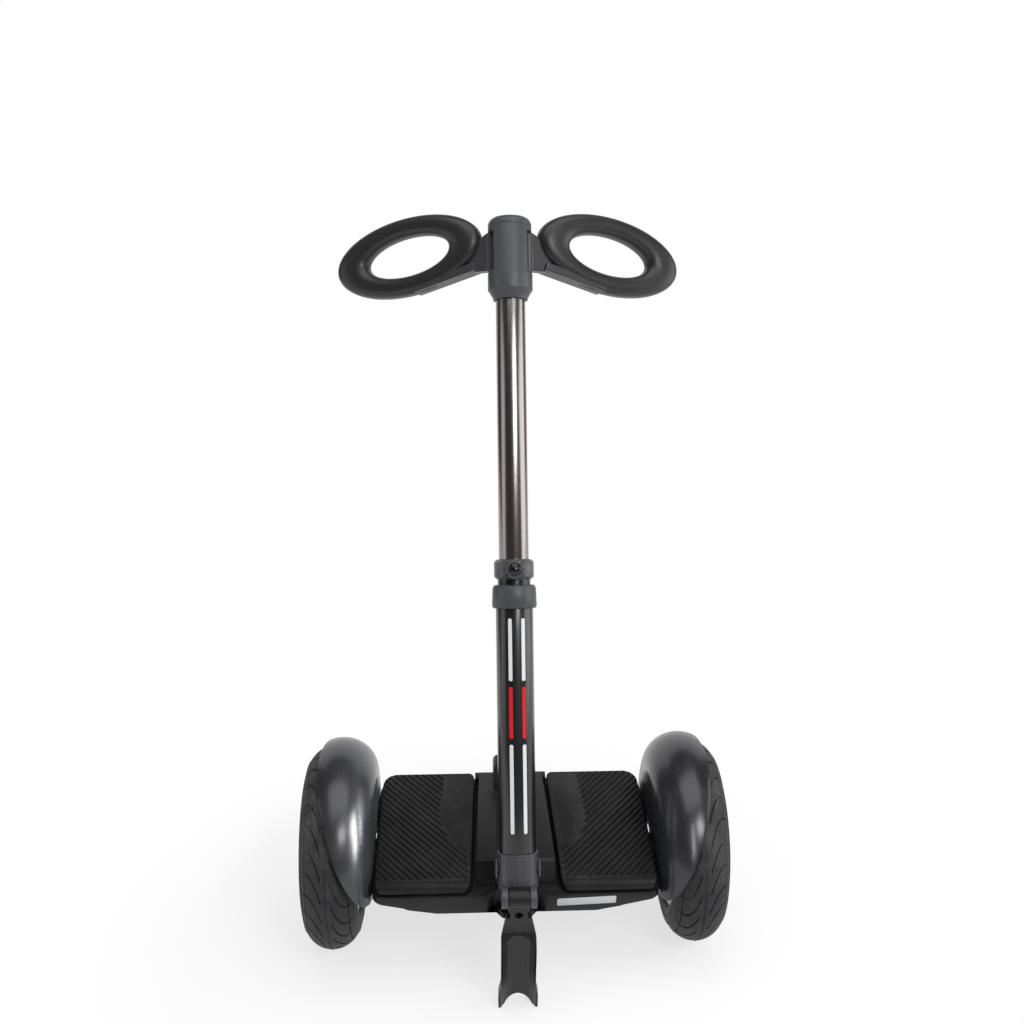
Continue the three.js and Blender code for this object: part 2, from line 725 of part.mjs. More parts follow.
function upperShellGeometry() {
  const side = outline([
    [deckRear, partingUp], [deckRear, deckTop, deckEdge], [deckFront, deckTop, smallEdge],
    [deckFront - lipLean, partingUp],
  ]);
  const plan = outline([
    [-deckHalfWidth, deckRear, deckRearCorner], [deckHalfWidth, deckRear, deckRearCorner],
    [deckHalfWidth, deckFront, deckFrontCorner], [-deckHalfWidth, deckFront, deckFrontCorner],
  ]);
  const slab = common(
    fromSide(side, -deckHalfWidth, deckHalfWidth),
    fromAbove(plan, partingUp, humpTop),
  );
  const nose = fromAbove(noseOutline(), partingUp, noseTop);
  const noseBoss = turnedAlongY([
    [0, -noseFront], [headConeRadius, -noseFront], [noseBossRadius, headConeDepth - noseFront],
    [noseBossRadius, -noseBossRear], [0, -noseBossRear],
  ], tubeSides).translate(0, 0, steeringUp);
  const coneReach = 2 * noseBossRadius;
  const coneRear = (coneReach - headConeRadius) * headConeShare - noseFront;
  const coneSpace = turnedAlongY([
    [0, -noseFront], [headConeRadius, -noseFront], [coneReach, coneRear], [coneReach, -noseFront - overrun],
    [0, -noseFront - overrun],
  ], tubeSides).translate(0, 0, steeringUp);
  const body = join(slab, humpGeometry(), podGeometry(), nose, noseBoss);

  const inner = deckHalfWidth - deckWall;
  const cavity = box(
    -inner, inner, deckRear + deckWall, noseBossRear + deckWall, partingUp - overrun, deckTop - deckSkin,
  );
  const humpInner = humpRearHalfWidth - deckSkin;
  const humpCavity = box(
    -humpInner, humpInner, deckRear + deckWall, noseBossRear - deckSkin, 0, humpTop - valleyDepth - deckSkin,
  );
  const valley = fromFront(outline([
    [-valleyHalfWidth, humpTop - valleyDepth, smallEdge], [valleyHalfWidth, humpTop - valleyDepth, smallEdge],
    [valleyHalfWidth + humpDraft, humpTop + overrun], [-valleyHalfWidth - humpDraft, humpTop + overrun],
  ]), valleyRear, noseBossRear + clearance);
  const spindleBore = turnedAlongY(
    rodProfile(bearingRadius + clearance, -noseFront - overrun, -noseBossRear - deckSkin), tubeSides,
  ).translate(0, 0, steeringUp);
  const spindleTail = turnedAlongY(rodProfile(
    spindleRadius + runningGap, -noseBossRear - deckSkin - overrun, overrun - noseBossRear + deckSkin,
  ), rodSides).translate(0, 0, steeringUp);
  const axleHoles = [-1, 1].map((sign) => turnedAlongX(
    rodProfile(axleRadius + clearance, inner - overrun, deckHalfWidth + overrun), rodSides,
  ).rotateZ(sign < 0 ? Math.PI : 0));
  const pegHoles = [];
  for (const sign of [-1, 1]) {
    for (const [x, forward] of pegPlaces) {
      pegHoles.push(turnedAlongZ(
        rodProfile(padPegRadius + clearance, pegHoleFloor, deckTop + overrun), smallSides,
      ).translate(sign * x, -forward, 0));
    }
    const slotHalf = padBladeHalfLength + clearance;
    const slotDepth = padBladeThickness / 2 + clearance;
    pegHoles.push(box(
      sign * sensorX - slotHalf, sign * sensorX + slotHalf, -slotDepth, slotDepth, 0, deckTop + overrun,
    ));
  }
  const powerPocket = turnedAlongZ(rodProfile(
    powerButtonRadius + clearance, podTop - powerButtonDepth - powerButtonTravel, podTop + overrun,
  ), rodSides).translate(0, -powerButtonForward, 0);
  const chargeBore = turnedAlongY(rodProfile(
    chargeRadius + clearance, -podRear - chargeDepth - clearance, -podRear + overrun,
  ), rodSides).translate(0, 0, chargeUp);
  return cut(
    body, coneSpace, cavity, humpCavity, valley, spindleBore, spindleTail, ...axleHoles, ...pegHoles,
    powerPocket, chargeBore,
  );
}

function noseOutline() {
  return outline([
    [-noseRootHalfWidth, noseBossRear], [noseRootHalfWidth, noseBossRear],
    [noseRootHalfWidth, deckFront - lipLean],
    [noseTipHalfWidth, noseFront, smallEdge], [-noseTipHalfWidth, noseFront, smallEdge],
    [-noseRootHalfWidth, deckFront - lipLean],
  ]);
}

function lowerShellGeometry() {
  const rim = partingUp - clearance;
  const side = outline([
    [deckRear + lipLean, rim], [undersideRear, undersideUp, undersideEdge],
    [undersideFront, undersideUp, undersideEdge], [deckFront - lipLean, rim],
  ]);
  const front = outline([
    [-undersideRimHalfWidth, rim], [-undersideHalfWidth, undersideUp, undersideEdge],
    [undersideHalfWidth, undersideUp, undersideEdge], [undersideRimHalfWidth, rim],
  ]);
  const tray = common(
    fromSide(side, -deckHalfWidth, deckHalfWidth),
    fromFront(front, deckRear, deckFront),
  );
  const chin = fromAbove(noseOutline(), noseBottom, rim);
  const floor = undersideUp + floorThickness;
  const beamBottom = beamTop - beamThickness;
  const beamSpace = box(
    -beamHalfLength - clearance, beamHalfLength + clearance,
    -beamHalfDepth - clearance, beamHalfDepth + clearance, beamBottom - clearance, rim + overrun,
  );
  const batterySpace = box(
    -beamHalfLength + supportRadius, beamHalfLength - supportRadius, -batteryHalfDepth - clearance,
    batteryHalfDepth + clearance, floor, rim + overrun,
  );
  const supports = [-1, 1].flatMap((sideways) => [-1, 1].map((lengthways) => turnedAlongZ(
    rodProfile(supportRadius, floor - floorThickness / 2, beamBottom - clearance), smallSides,
  ).translate(sideways * supportX, lengthways * supportForward, 0)));
  return join(cut(join(tray, chin), beamSpace, batterySpace), ...supports);
}

function beamGeometry() {
  const plan = outline([
    [-beamHalfLength, -beamHalfDepth, clampEdge], [beamHalfLength, -beamHalfDepth, clampEdge],
    [beamHalfLength, beamHalfDepth, clampEdge], [-beamHalfLength, beamHalfDepth, clampEdge],
  ]);
  const holes = [-1, 0, 1].map((step) => turnedAlongZ(
    rodProfile(beamLightHoleRadius, beamTop - beamThickness - overrun, beamTop + overrun), rodSides,
  ).translate(step * beamLightHoleSpacing, 0, 0));
  return cut(fromAbove(plan, beamTop - beamThickness, beamTop), ...holes);
}

function clampGeometry() {
  const low = beamTop + clearance;
  const side = outline([
    [-clampHalfDepth, low], [clampHalfDepth, low], [clampHalfDepth, clampTop, clampEdge],
    [-clampHalfDepth, clampTop, clampEdge],
  ]);
  const middle = beamHalfLength - clampHalfLength - clearance;
  const block = fromSide(side, middle - clampHalfLength, middle + clampHalfLength);
  const bore = turnedAlongX(rodProfile(
    axleRadius + clearance, middle - clampHalfLength - overrun, middle + clampHalfLength + overrun,
  ), rodSides);
  const pinch = box(
    middle - clampHalfLength - overrun, middle + clampHalfLength + overrun,
    -smallEdge, smallEdge, 0, clampTop + overrun,
  );
  return cut(block, bore, pinch);
}

function boardGeometry() {
  const low = beamTop + clearance;
  const high = low + boardThickness;
  const sheet = box(-boardHalfLength, boardHalfLength, -boardHalfDepth, boardHalfDepth, low, high);
  const sink = box(
    -heatSinkHalfLength, heatSinkHalfLength, -heatSinkHalfDepth, heatSinkHalfDepth, low, low + heatSinkHeight,
  );
  const pitch = (2 * heatSinkHalfLength) / heatSinkFinCount;
  const grooves = [];
  for (let i = 0; i < heatSinkFinCount - 1; i += 1) {
    const middle = -heatSinkHalfLength + pitch * (i + 1);
    const half = (pitch * heatSinkGrooveShare) / 2;
    grooves.push(box(
      middle - half, middle + half, -heatSinkHalfDepth - overrun, heatSinkHalfDepth + overrun,
      low + heatSinkHeight / 2, low + heatSinkHeight + overrun,
    ));
  }
  return join(sheet, cut(sink, ...grooves));
}

// Foot pads: ribs run aslant, and a smooth patch lies at the inner rear
function padGeometry() {
  const plan = outline([
    [padRearInner, padRear, padCorner], [padOuter, padRear, padRearOuterCorner],
    [padOuter, padFront, padCorner], [padFrontInner, padFront, padCorner],
  ]);
  const side = outline([
    [padRear, padBottom], [padRear, padTop, padRearRound], [padFront, padTop, padFrontRound],
    [padFront, padBottom],
  ]);
  const slab = common(fromAbove(plan, padBottom, padTop), fromSide(side, padRearInner, padOuter));

  const ribReach = padOuter - padRearInner + padFront - padRear;
  const groove = new THREE.BoxGeometry(ribReach, padRibWidth, 2 * padRibDepth);
  const ribTurn = radians(padRibAngle);
  const ribSpan = (
    (padFront - padRear) * Math.cos(ribTurn) + (padOuter - padRearInner) * Math.sin(ribTurn)
  ) / 2;
  const middleX = (padInnerMiddle + padOuter) / 2;
  const middleForward = (padRear + padFront) / 2;
  const grooves = [];
  for (let i = 0; i < padRibCount; i += 1) {
    const offset = ribSpan * ((2 * (i + 1 / 2)) / padRibCount - 1);
    const turned = groove.clone().translate(0, offset, 0).rotateZ(ribTurn);
    grooves.push(turned.translate(middleX, -middleForward, padTop));
  }
  const ribbed = outline([
    [padFrontInner + padMargin, padSmoothFront + padMargin, padCorner],
    [padInnerMiddle + padSmoothReach, padSmoothFront - padMargin, padCorner],
    [padInnerMiddle + padSmoothRearReach, padRear + padMargin],
    [padOuter - padMargin, padRear + padMargin, padRearOuterCorner],
    [padOuter - padMargin, padFront - padFrontRound, padCorner],
    [padFrontInner + padMargin, padFront - padFrontRound, padCorner],
  ]);
  const field = fromAbove(ribbed, padTop - padRibDepth, padTop + padRibDepth);
  const cuts = common(join(...grooves), field);
  const pegs = pegPlaces.map(([x, forward]) => turnedAlongZ(
    rodProfile(padPegRadius, padBottom - padPegLength, padBottom + smallEdge, smallEdge / 2), smallSides,
  ).translate(x, -forward, 0));
  const blade = box(
    sensorX - padBladeHalfLength, sensorX + padBladeHalfLength, -padBladeThickness / 2, padBladeThickness / 2,
    padBottom - padBladeDrop, padBottom + smallEdge,
  );
  return join(cut(slab, cuts), ...pegs, blade);
}

function sensorGeometry() {
  const top = deckTop - deckSkin - clearance;
  const block = box(
    sensorX - sensorHalfLength, sensorX + sensorHalfLength, -sensorHalfDepth, sensorHalfDepth,
    top - sensorHeight, top,
  );
  const slotDepth = padBladeThickness / 2 + clearance;
  const slotFloor = padBottom - padBladeDrop - padTravel - runningGap;
  return cut(block, box(
    sensorX - sensorHalfLength - overrun, sensorX + sensorHalfLength + overrun, -slotDepth, slotDepth,
    slotFloor, top + overrun,
  ));
}

function buildDeck() {
  add(deck, "deck_shell_upper", upperShellGeometry(), "shellPlastic");
  add(deck, "deck_shell_lower", lowerShellGeometry(), "shellPlastic");
  add(deck, "chassis_beam", beamGeometry(), "alloy");
  const floor = undersideUp + floorThickness + clearance;
  const batteryPlan = outline([
    [-batteryHalfLength, -batteryHalfDepth, batteryEdge], [batteryHalfLength, -batteryHalfDepth, batteryEdge],
    [batteryHalfLength, batteryHalfDepth, batteryEdge], [-batteryHalfLength, batteryHalfDepth, batteryEdge],
  ]);
  add(deck, "battery_pack", fromAbove(batteryPlan, floor, floor + batteryHeight), "battery");
  add(deck, "control_board", boardGeometry(), "board");
  for (const [side, sign] of [["left", -1], ["right", 1]]) {
    const sided = (geometry) => (sign < 0 ? mirrored(geometry) : geometry);
    add(deck, `axle_clamp_${side}`, sided(clampGeometry()), "alloy");
    add(deck, `foot_pad_${side}`, sided(padGeometry()), "padRubber");
    add(deck, `pad_sensor_${side}`, sided(sensorGeometry()), "gloss");
    buildFender(side, sign);
    buildWheel(side, sign);
  }
  const bearingFront = noseFront - headConeDepth;
  const bushFront = bearingFront - bearingLength - clearance;
  const spindleBore = spindleRadius + clearance;
  add(deck, "steering_bearing", turnedAlongY(
    tubeProfile(bearingRadius, spindleBore, -bearingFront, bearingLength - bearingFront, smallEdge),
    tubeSides,
  ).translate(0, 0, steeringUp), "steel");
  add(deck, "centring_bush", turnedAlongY(
    tubeProfile(bearingRadius, spindleBore, -bushFront, -noseBossRear - deckSkin - clearance), tubeSides,
  ).translate(0, 0, steeringUp), "amberRubber");
  buildPodFittings();
}

function buildPodFittings() {
  add(deck, "power_button", turnedAlongZ(rodProfile(
    powerButtonRadius, podTop - powerButtonDepth + clearance, podTop + powerButtonProud, smallEdge,
  ), rodSides).translate(0, -powerButtonForward, 0), "gloss");

  const inletRear = -podRear;
  const inlet = turnedAlongY(rodProfile(chargeRadius, inletRear - chargeDepth, inletRear), rodSides);
  const mouth = turnedAlongY(
    rodProfile(chargeRadius - chargeRim, inletRear - chargeRecess, inletRear + overrun), rodSides,
  );
  const pins = [-1, 0, 1].map((step) => turnedAlongY(
    rodProfile(chargePinRadius, inletRear - chargeRecess - smallEdge, inletRear - chargeRim), smallSides,
  ).translate(step * chargeRadius * chargePinShare, 0, 0));
  add(deck, "charge_inlet", join(cut(inlet, mouth), ...pins).translate(0, 0, chargeUp), "gloss");
}

// Stem: socket, lower tube, collars and guide sleeve
const crossBoltZ = -crossBoltDrop;
const lowerCollarTop = lowerTubeShown + lowerCollarHeight;
const lockCollarBottom = lowerCollarTop + collarSpacing;
const lockCollarTop = lockCollarBottom + lockCollarHeight;
const lockZ = lockCollarBottom + lockCollarHeight / 2;
const sleeveRadius = lowerTubeBore - clearance;
const sleeveBore = upperTubeRadius + clearance;
const sleeveTop = lockCollarTop - collarLip - clearance;
const sleeveBottom = lowerTubeShown - sleeveDrop;
const lockPocketFloor = lockButtonTravel + lockSpringRoom - lockBossReach + smallEdge;

function socketGeometry() {
  const tubeBore = lowerTubeRadius + clearance;
  const barrel = turnedAlongZ([
    [0, -socketHeight], [socketRadius - collarEdge, -socketHeight], [socketRadius, collarEdge - socketHeight],
    [socketRadius, -smallEdge / 2], [tubeBore, 0], [tubeBore, -socketFloorDrop], [0, -socketFloorDrop],
  ], tubeSides);
  const hubRear = noseFront + runningGap;
  const hub = turnedAlongY([
    [0, -socketHubFront], [socketHubNose, -socketHubFront], [socketHubRadius, socketHubNose - socketHubFront],
    [socketHubRadius, (socketHubRadius - headConeRadius) * headConeShare - hubRear],
    [headConeRadius, -hubRear], [0, -hubRear],
  ], tubeSides).translate(0, 0, steeringUp).applyMatrix4(deckToStem);
  const ears = [-1, 1].flatMap((sign) => {
    const inner = Math.min(sign * earInner, sign * earOuter);
    const outer = Math.max(sign * earInner, sign * earOuter);
    const eye = turnedAlongX(rodProfile(hingeRadius, inner, outer), tubeSides)
      .translate(0, -hingeForward, -hingeDrop);
    const plate = box(
      inner, outer, socketRadius / 2, hingeForward, -hingeDrop - hingeRadius, hingeRadius - hingeDrop,
    );
    return [eye, plate];
  });
  const pinHole = turnedAlongX(
    rodProfile(hingePinRadius + clearance, -earOuter - overrun, earOuter + overrun), rodSides,
  ).translate(0, -hingeForward, -hingeDrop);
  const boltHole = turnedAlongX(
    rodProfile(crossBoltRadius + clearance, -socketRadius - overrun, socketRadius + overrun), rodSides,
  ).translate(0, 0, crossBoltZ);
  const tongueSpace = turnedAlongX(rodProfile(
    hingeRadius + runningGap, -earInner, earInner,
  ), tubeSides).translate(0, -hingeForward, -hingeDrop);
  const spindleBore = turnedAlongY(
    rodProfile(spindleRadius + clearance, -spindleFront - clearance, overrun - hubRear), rodSides,
  ).translate(0, 0, steeringUp).applyMatrix4(deckToStem);
  const tubeSpace = turnedAlongZ(rodProfile(tubeBore, -socketFloorDrop, overrun), tubeSides);
  return cut(join(barrel, hub, ...ears), pinHole, boltHole, tongueSpace, spindleBore, tubeSpace);
}

function lowerTubeGeometry() {
  const tube = turnedAlongZ(
    tubeProfile(lowerTubeRadius, lowerTubeBore, -lowerTubeDrop, lowerCollarTop - collarLip - clearance),
    tubeSides,
  );
  const boltHole = turnedAlongX(
    rodProfile(crossBoltRadius + clearance, -socketRadius - overrun, socketRadius + overrun), rodSides,
  ).translate(0, 0, crossBoltZ);
  return cut(tube, boltHole);
}

function lowerCollarGeometry() {
  const inside = lowerTubeRadius + clearance;
  return turnedAlongZ([
    [inside, lowerTubeShown], [lowerCollarRadius - collarEdge / 2, lowerTubeShown],
    [lowerCollarRadius, lowerTubeShown + collarEdge],
    [lowerCollarRadius - smallEdge, lowerCollarTop - collarEdge],
    [lowerCollarRadius - collarEdge, lowerCollarTop], [lowerTubeBore, lowerCollarTop],
    [lowerTubeBore, lowerCollarTop - collarLip], [inside, lowerCollarTop - collarLip],
    [inside, lowerTubeShown],
  ], tubeSides);
}

function lockCollarGeometry() {
  const inside = sleeveRadius + clearance;
  const ring = turnedAlongZ([
    [inside, lockCollarBottom], [lockCollarRadius - collarEdge, lockCollarBottom],
    [lockCollarRadius, lockCollarBottom + collarEdge], [lockCollarRadius, lockCollarTop - collarEdge],
    [lockCollarRadius - collarEdge, lockCollarTop], [sleeveBore, lockCollarTop],
    [sleeveBore, lockCollarTop - collarLip], [inside, lockCollarTop - collarLip], [inside, lockCollarBottom],
  ], tubeSides);
  const boss = turnedAlongY(rodProfile(lockBossRadius, -lockBossReach, -lowerTubeBore, smallEdge), rodSides)
    .translate(0, 0, lockZ);
  const bore = turnedAlongZ(
    rodProfile(inside, lockCollarBottom - overrun, lockCollarTop - collarLip), tubeSides,
  );
  const pocket = turnedAlongY(
    rodProfile(lockButtonRadius + clearance, -lockBossReach - overrun, lockPocketFloor), rodSides,
  ).translate(0, 0, lockZ);
  const shankHole = turnedAlongY(
    rodProfile(lockButtonShank + clearance, -lockBossReach, 0), rodSides,
  ).translate(0, 0, lockZ);
  return cut(join(ring, boss), bore, pocket, shankHole);
}

function guideSleeveGeometry() {
  const sleeve = turnedAlongZ(
    tubeProfile(sleeveRadius, sleeveBore, sleeveBottom, sleeveTop), tubeSides,
  );
  const shankHole = turnedAlongY(
    rodProfile(lockButtonShank + clearance, -lockBossReach, 0), rodSides,
  ).translate(0, 0, lockZ);
  return cut(sleeve, shankHole);
}

function lockButtonGeometry() {
  const shankEnd = -sleeveBore - lockButtonTravel - clearance;
  const buttonBack = lockPocketFloor - lockButtonTravel - lockSpringRoom;
  return turnedAlongY([
    [0, -lockButtonReach], [lockButtonRadius / 2, smallEdge / 2 - lockButtonReach],
    [lockButtonRadius, lockButtonDome - lockButtonReach], [lockButtonRadius, buttonBack],
    [lockButtonShank, buttonBack], [lockButtonShank, shankEnd], [0, shankEnd],
  ], rodSides).translate(0, 0, lockZ);
}

function buildStem() {
  add(stem, "stem_socket", socketGeometry(), "castGrey");
  const spindleTail = noseBossRear + deckSkin + clearance;
  const spindle = turnedAlongY(
    rodProfile(spindleRadius, -spindleFront, -spindleTail, smallEdge), rodSides,
  ).translate(0, 0, steeringUp).applyMatrix4(deckToStem);
  add(stem, "steering_spindle", spindle, "steel");
  add(stem, "lower_tube", lowerTubeGeometry(), "gloss");
  add(stem, "lower_collar", lowerCollarGeometry(), "castGrey");
  add(stem, "guide_sleeve", guideSleeveGeometry(), "gloss");
  add(stem, "lock_collar", lockCollarGeometry(), "castGrey");
  add(stem, "lock_button", lockButtonGeometry(), "castGrey");
  add(stem, "cross_bolt", turnedAlongX(
    rodProfile(crossBoltRadius, clearance - socketRadius, socketRadius - clearance), rodSides,
  ).translate(0, 0, crossBoltZ), "steel");
  for (const [side, sign] of [["left", -1], ["right", 1]]) {
    const cap = turnedAlongX([
      [0, socketRadius + clearance], [crossCapRadius, socketRadius + clearance],
      [crossCapRadius, socketRadius + smallEdge], [crossCapRadius - collarEdge, crossCapReach],
      [0, crossCapReach],
    ], rodSides).translate(0, 0, crossBoltZ);
    add(stem, `cross_bolt_cap_${side}`, sign < 0 ? mirrored(cap) : cap, "castGrey");
  }
  add(stem, "stand_pin", turnedAlongX(
    rodProfile(hingePinRadius, -earOuter, earOuter, smallEdge / 2), rodSides,
  ).translate(0, -hingeForward, -hingeDrop), "steel");
}

// Mast: upper tube, its end bush, the handle hub and the wing pins
const hubBottom = lockCollarTop + upperTubeShown;
const upperTubeBottom = sleeveBottom; // drawn right out, the end bush meets the guide sleeve
const upperTubeTop = hubBottom + upperTubeInHub;
const hubTop = hubBottom + hubHeight;
const pocketLow = hubBottom + pocketBottom;
const pocketHigh = pocketLow + pocketHeight;
const pinTop = hubTop - clearance;
const pinBottom = pocketLow - wingPinSeat;

function hubGeometry() {
  const bore = upperTubeRadius + clearance;
  const body = turnedAlongZ([
    [bore, hubBottom - hubNeckHeight], [hubNeckRadius, hubBottom - hubNeckHeight], [hubRadius, hubBottom],
    [hubSkirtRadius, hubBottom + smallEdge], [hubSkirtRadius, hubBottom + hubSkirtHeight - smallEdge],
    [hubRadius, hubBottom + hubSkirtHeight], [hubRadius, hubTop], [hubCoreBore, hubTop],
    [hubCoreBore, upperTubeTop + clearance], [bore, upperTubeTop + clearance],
    [bore, hubBottom - hubNeckHeight],
  ], tubeSides);
  const pockets = [-1, 1].flatMap((sign) => {
    const span = (from, to) => [Math.min(sign * from, sign * to), Math.max(sign * from, sign * to)];
    const reach = hubSkirtRadius + overrun;
    return [
      box(...span(pocketFrontX, reach), -reach, reach, pocketLow, pocketHigh),
      box(...span(pocketRearX, reach), -reach, 0, pocketLow, pocketHigh),
      turnedAlongZ(rodProfile(knuckleRadius + runningGap, pocketLow, pocketHigh), rodSides)
        .translate(sign * wingHingeX, 0, 0),
      turnedAlongZ(rodProfile(wingPinRadius + clearance, pinBottom - clearance, hubTop + overrun), smallSides)
        .translate(sign * wingHingeX, 0, 0),
    ];
  });
  return cut(body, ...pockets);
}

function buildMast() {
  add(stem, "upper_tube", turnedAlongZ(
    tubeProfile(upperTubeRadius, upperTubeBore, upperTubeBottom, upperTubeTop), tubeSides,
  ), "anodised");
  const plug = upperTubeBore - clearance;
  add(stem, "tube_end_bush", turnedAlongZ([
    [0, upperTubeBottom - endBushHeight], [sleeveRadius - smallEdge, upperTubeBottom - endBushHeight],
    [sleeveRadius, upperTubeBottom - endBushHeight + smallEdge], [sleeveRadius, upperTubeBottom - clearance],
    [plug, upperTubeBottom - clearance], [plug, upperTubeBottom + endPlugHeight],
    [0, upperTubeBottom + endPlugHeight],
  ], tubeSides), "castGrey");
  add(stem, "handle_hub", hubGeometry(), "castGrey");
  const capBottom = hubTop + clearance;
  const capTop = hubTop + capHeight;
  const capPlug = hubCoreBore - clearance;
  add(stem, "hub_cap", turnedAlongZ([
    [0, capBottom - capPlugHeight], [capPlug, capBottom - capPlugHeight], [capPlug, capBottom],
    [hubRadius, capBottom], [hubRadius, capTop - capEdge], [hubRadius - smallEdge, capTop - capEdge / 2],
    [hubRadius - capEdge, capTop - smallEdge / 2], [0, capTop],
  ], tubeSides), "castGrey");
  for (const [side, sign] of [["left", -1], ["right", 1]]) {
    add(stem, `wing_pin_${side}`, turnedAlongZ(
      rodProfile(wingPinRadius, pinBottom, pinTop), smallSides,
    ).translate(sign * wingHingeX, 0, 0), "steel");
    buildWing(side, sign);
  }
}

// Wings: a hinged frame whose tongue and arm are set in an oval grip ring
const gripPlace = new THREE.Matrix4()
  .makeTranslation(padCentreOut, 0, padCentreUp - pocketBottom)
  .multiply(new THREE.Matrix4().makeRotationY(radians(padDroopAngle)));

function wingFrameGeometry(gap, armHalf) {
  const length = pocketHeight - 2 * clearance;
  const low = clearance;
  const knuckle = turnedAlongZ(rodProfile(knuckleRadius + gap, low, low + length), rodSides);
  const web = outline([
    [0, low], [knuckleRadius, low - gap], [webReach + armStartHeight + gap, low - gap],
    [webReach + gap, low + length - webTopDrop + gap, webTopDrop],
    [0, low + length - webTopDrop + gap],
  ]);
  const webPlate = fromFront(web, -webHalfThickness - gap, webHalfThickness + gap);
  const start = new THREE.Vector2(armStartAlong, armStartUp);
  const end = new THREE.Vector2(armEndAlong + gap, armEndUp);
  const across = end.clone().sub(start).normalize().rotateAround(new THREE.Vector2(), Math.PI / 2);
  const corner = (point, height) => {
    const place = point.clone().addScaledVector(across, height);
    return [place.x, place.y, smallEdge];
  };
  const arm = fromFront(outline([
    corner(start, -armStartHeight / 2 - gap), corner(end, -armEndHeight / 2 - gap),
    corner(end, armEndHeight / 2 + gap), corner(start, armStartHeight / 2 + gap),
  ]), -armHalf, armHalf).applyMatrix4(gripPlace);
  const pinHole = turnedAlongZ(
    rodProfile(wingPinRadius + clearance, low - overrun, low + length + overrun), smallSides,
  );
  return cut(join(knuckle, webPlate, arm), pinHole);
}

function gripGeometry() {
  const rows = [];
  for (let i = 0; i < gripRoundSteps; i += 1) {
    const round = (2 * Math.PI * i) / gripRoundSteps;
    const cos = Math.cos(round);
    const sin = Math.sin(round);
    const outer = [gripHalfLength * cos, gripHalfHeight * sin];
    const inner = [holeHalfLength * cos, holeHalfHeight * sin];
    const middle = outer.map((value, axis) => (value + inner[axis]) / 2);
    const half = outer.map((value, axis) => (value - inner[axis]) / 2);
    const thickness = gripHalfThickness * (gripSideThicknessShare + (1 - gripSideThicknessShare) * cos * cos);
    const loop = [];
    for (let j = 0; j < gripSectionSteps; j += 1) {
      const angle = (2 * Math.PI * j) / gripSectionSteps;
      const width = Math.sign(Math.cos(angle)) * Math.abs(Math.cos(angle)) ** gripFullness;
      const depth = Math.sign(Math.sin(angle)) * Math.abs(Math.sin(angle)) ** gripFullness;
      loop.push(new THREE.Vector3(
        middle[0] + half[0] * width, thickness * depth, middle[1] + half[1] * width,
      ));
    }
    rows.push(loop);
  }
  return loftOf(rows, true).applyMatrix4(gripPlace);
}

function buildWing(side, sign) {
  const wing = new THREE.Group();
  wing.position.set(sign * wingHingeX, 0, pocketLow);
  wing.rotation.z = sign * radians(wingSweepAngle);
  stem.add(wing);
  const sided = (geometry) => (sign < 0 ? mirrored(geometry) : geometry);
  add(wing, `wing_frame_${side}`, sided(wingFrameGeometry(0, armHalfThickness)), "castGrey");
  const notch = wingFrameGeometry(clearance, gripHalfThickness + overrun);
  add(wing, `grip_pad_${side}`, sided(cut(gripGeometry(), notch)), "gripFoam");
}

// Prop stand
const legAngle = standLeanAngle + stemRakeAngle - noseDownAngle;
const leg = new THREE.Group();
leg.position.set(0, -hingeForward, -hingeDrop);
leg.rotation.x = radians(legAngle);
stem.add(leg);
transporter.updateMatrixWorld(true);
const hingeHeight = new THREE.Vector3().setFromMatrixPosition(leg.matrixWorld).z;
const legLength = hingeHeight / Math.cos(radians(standLeanAngle));

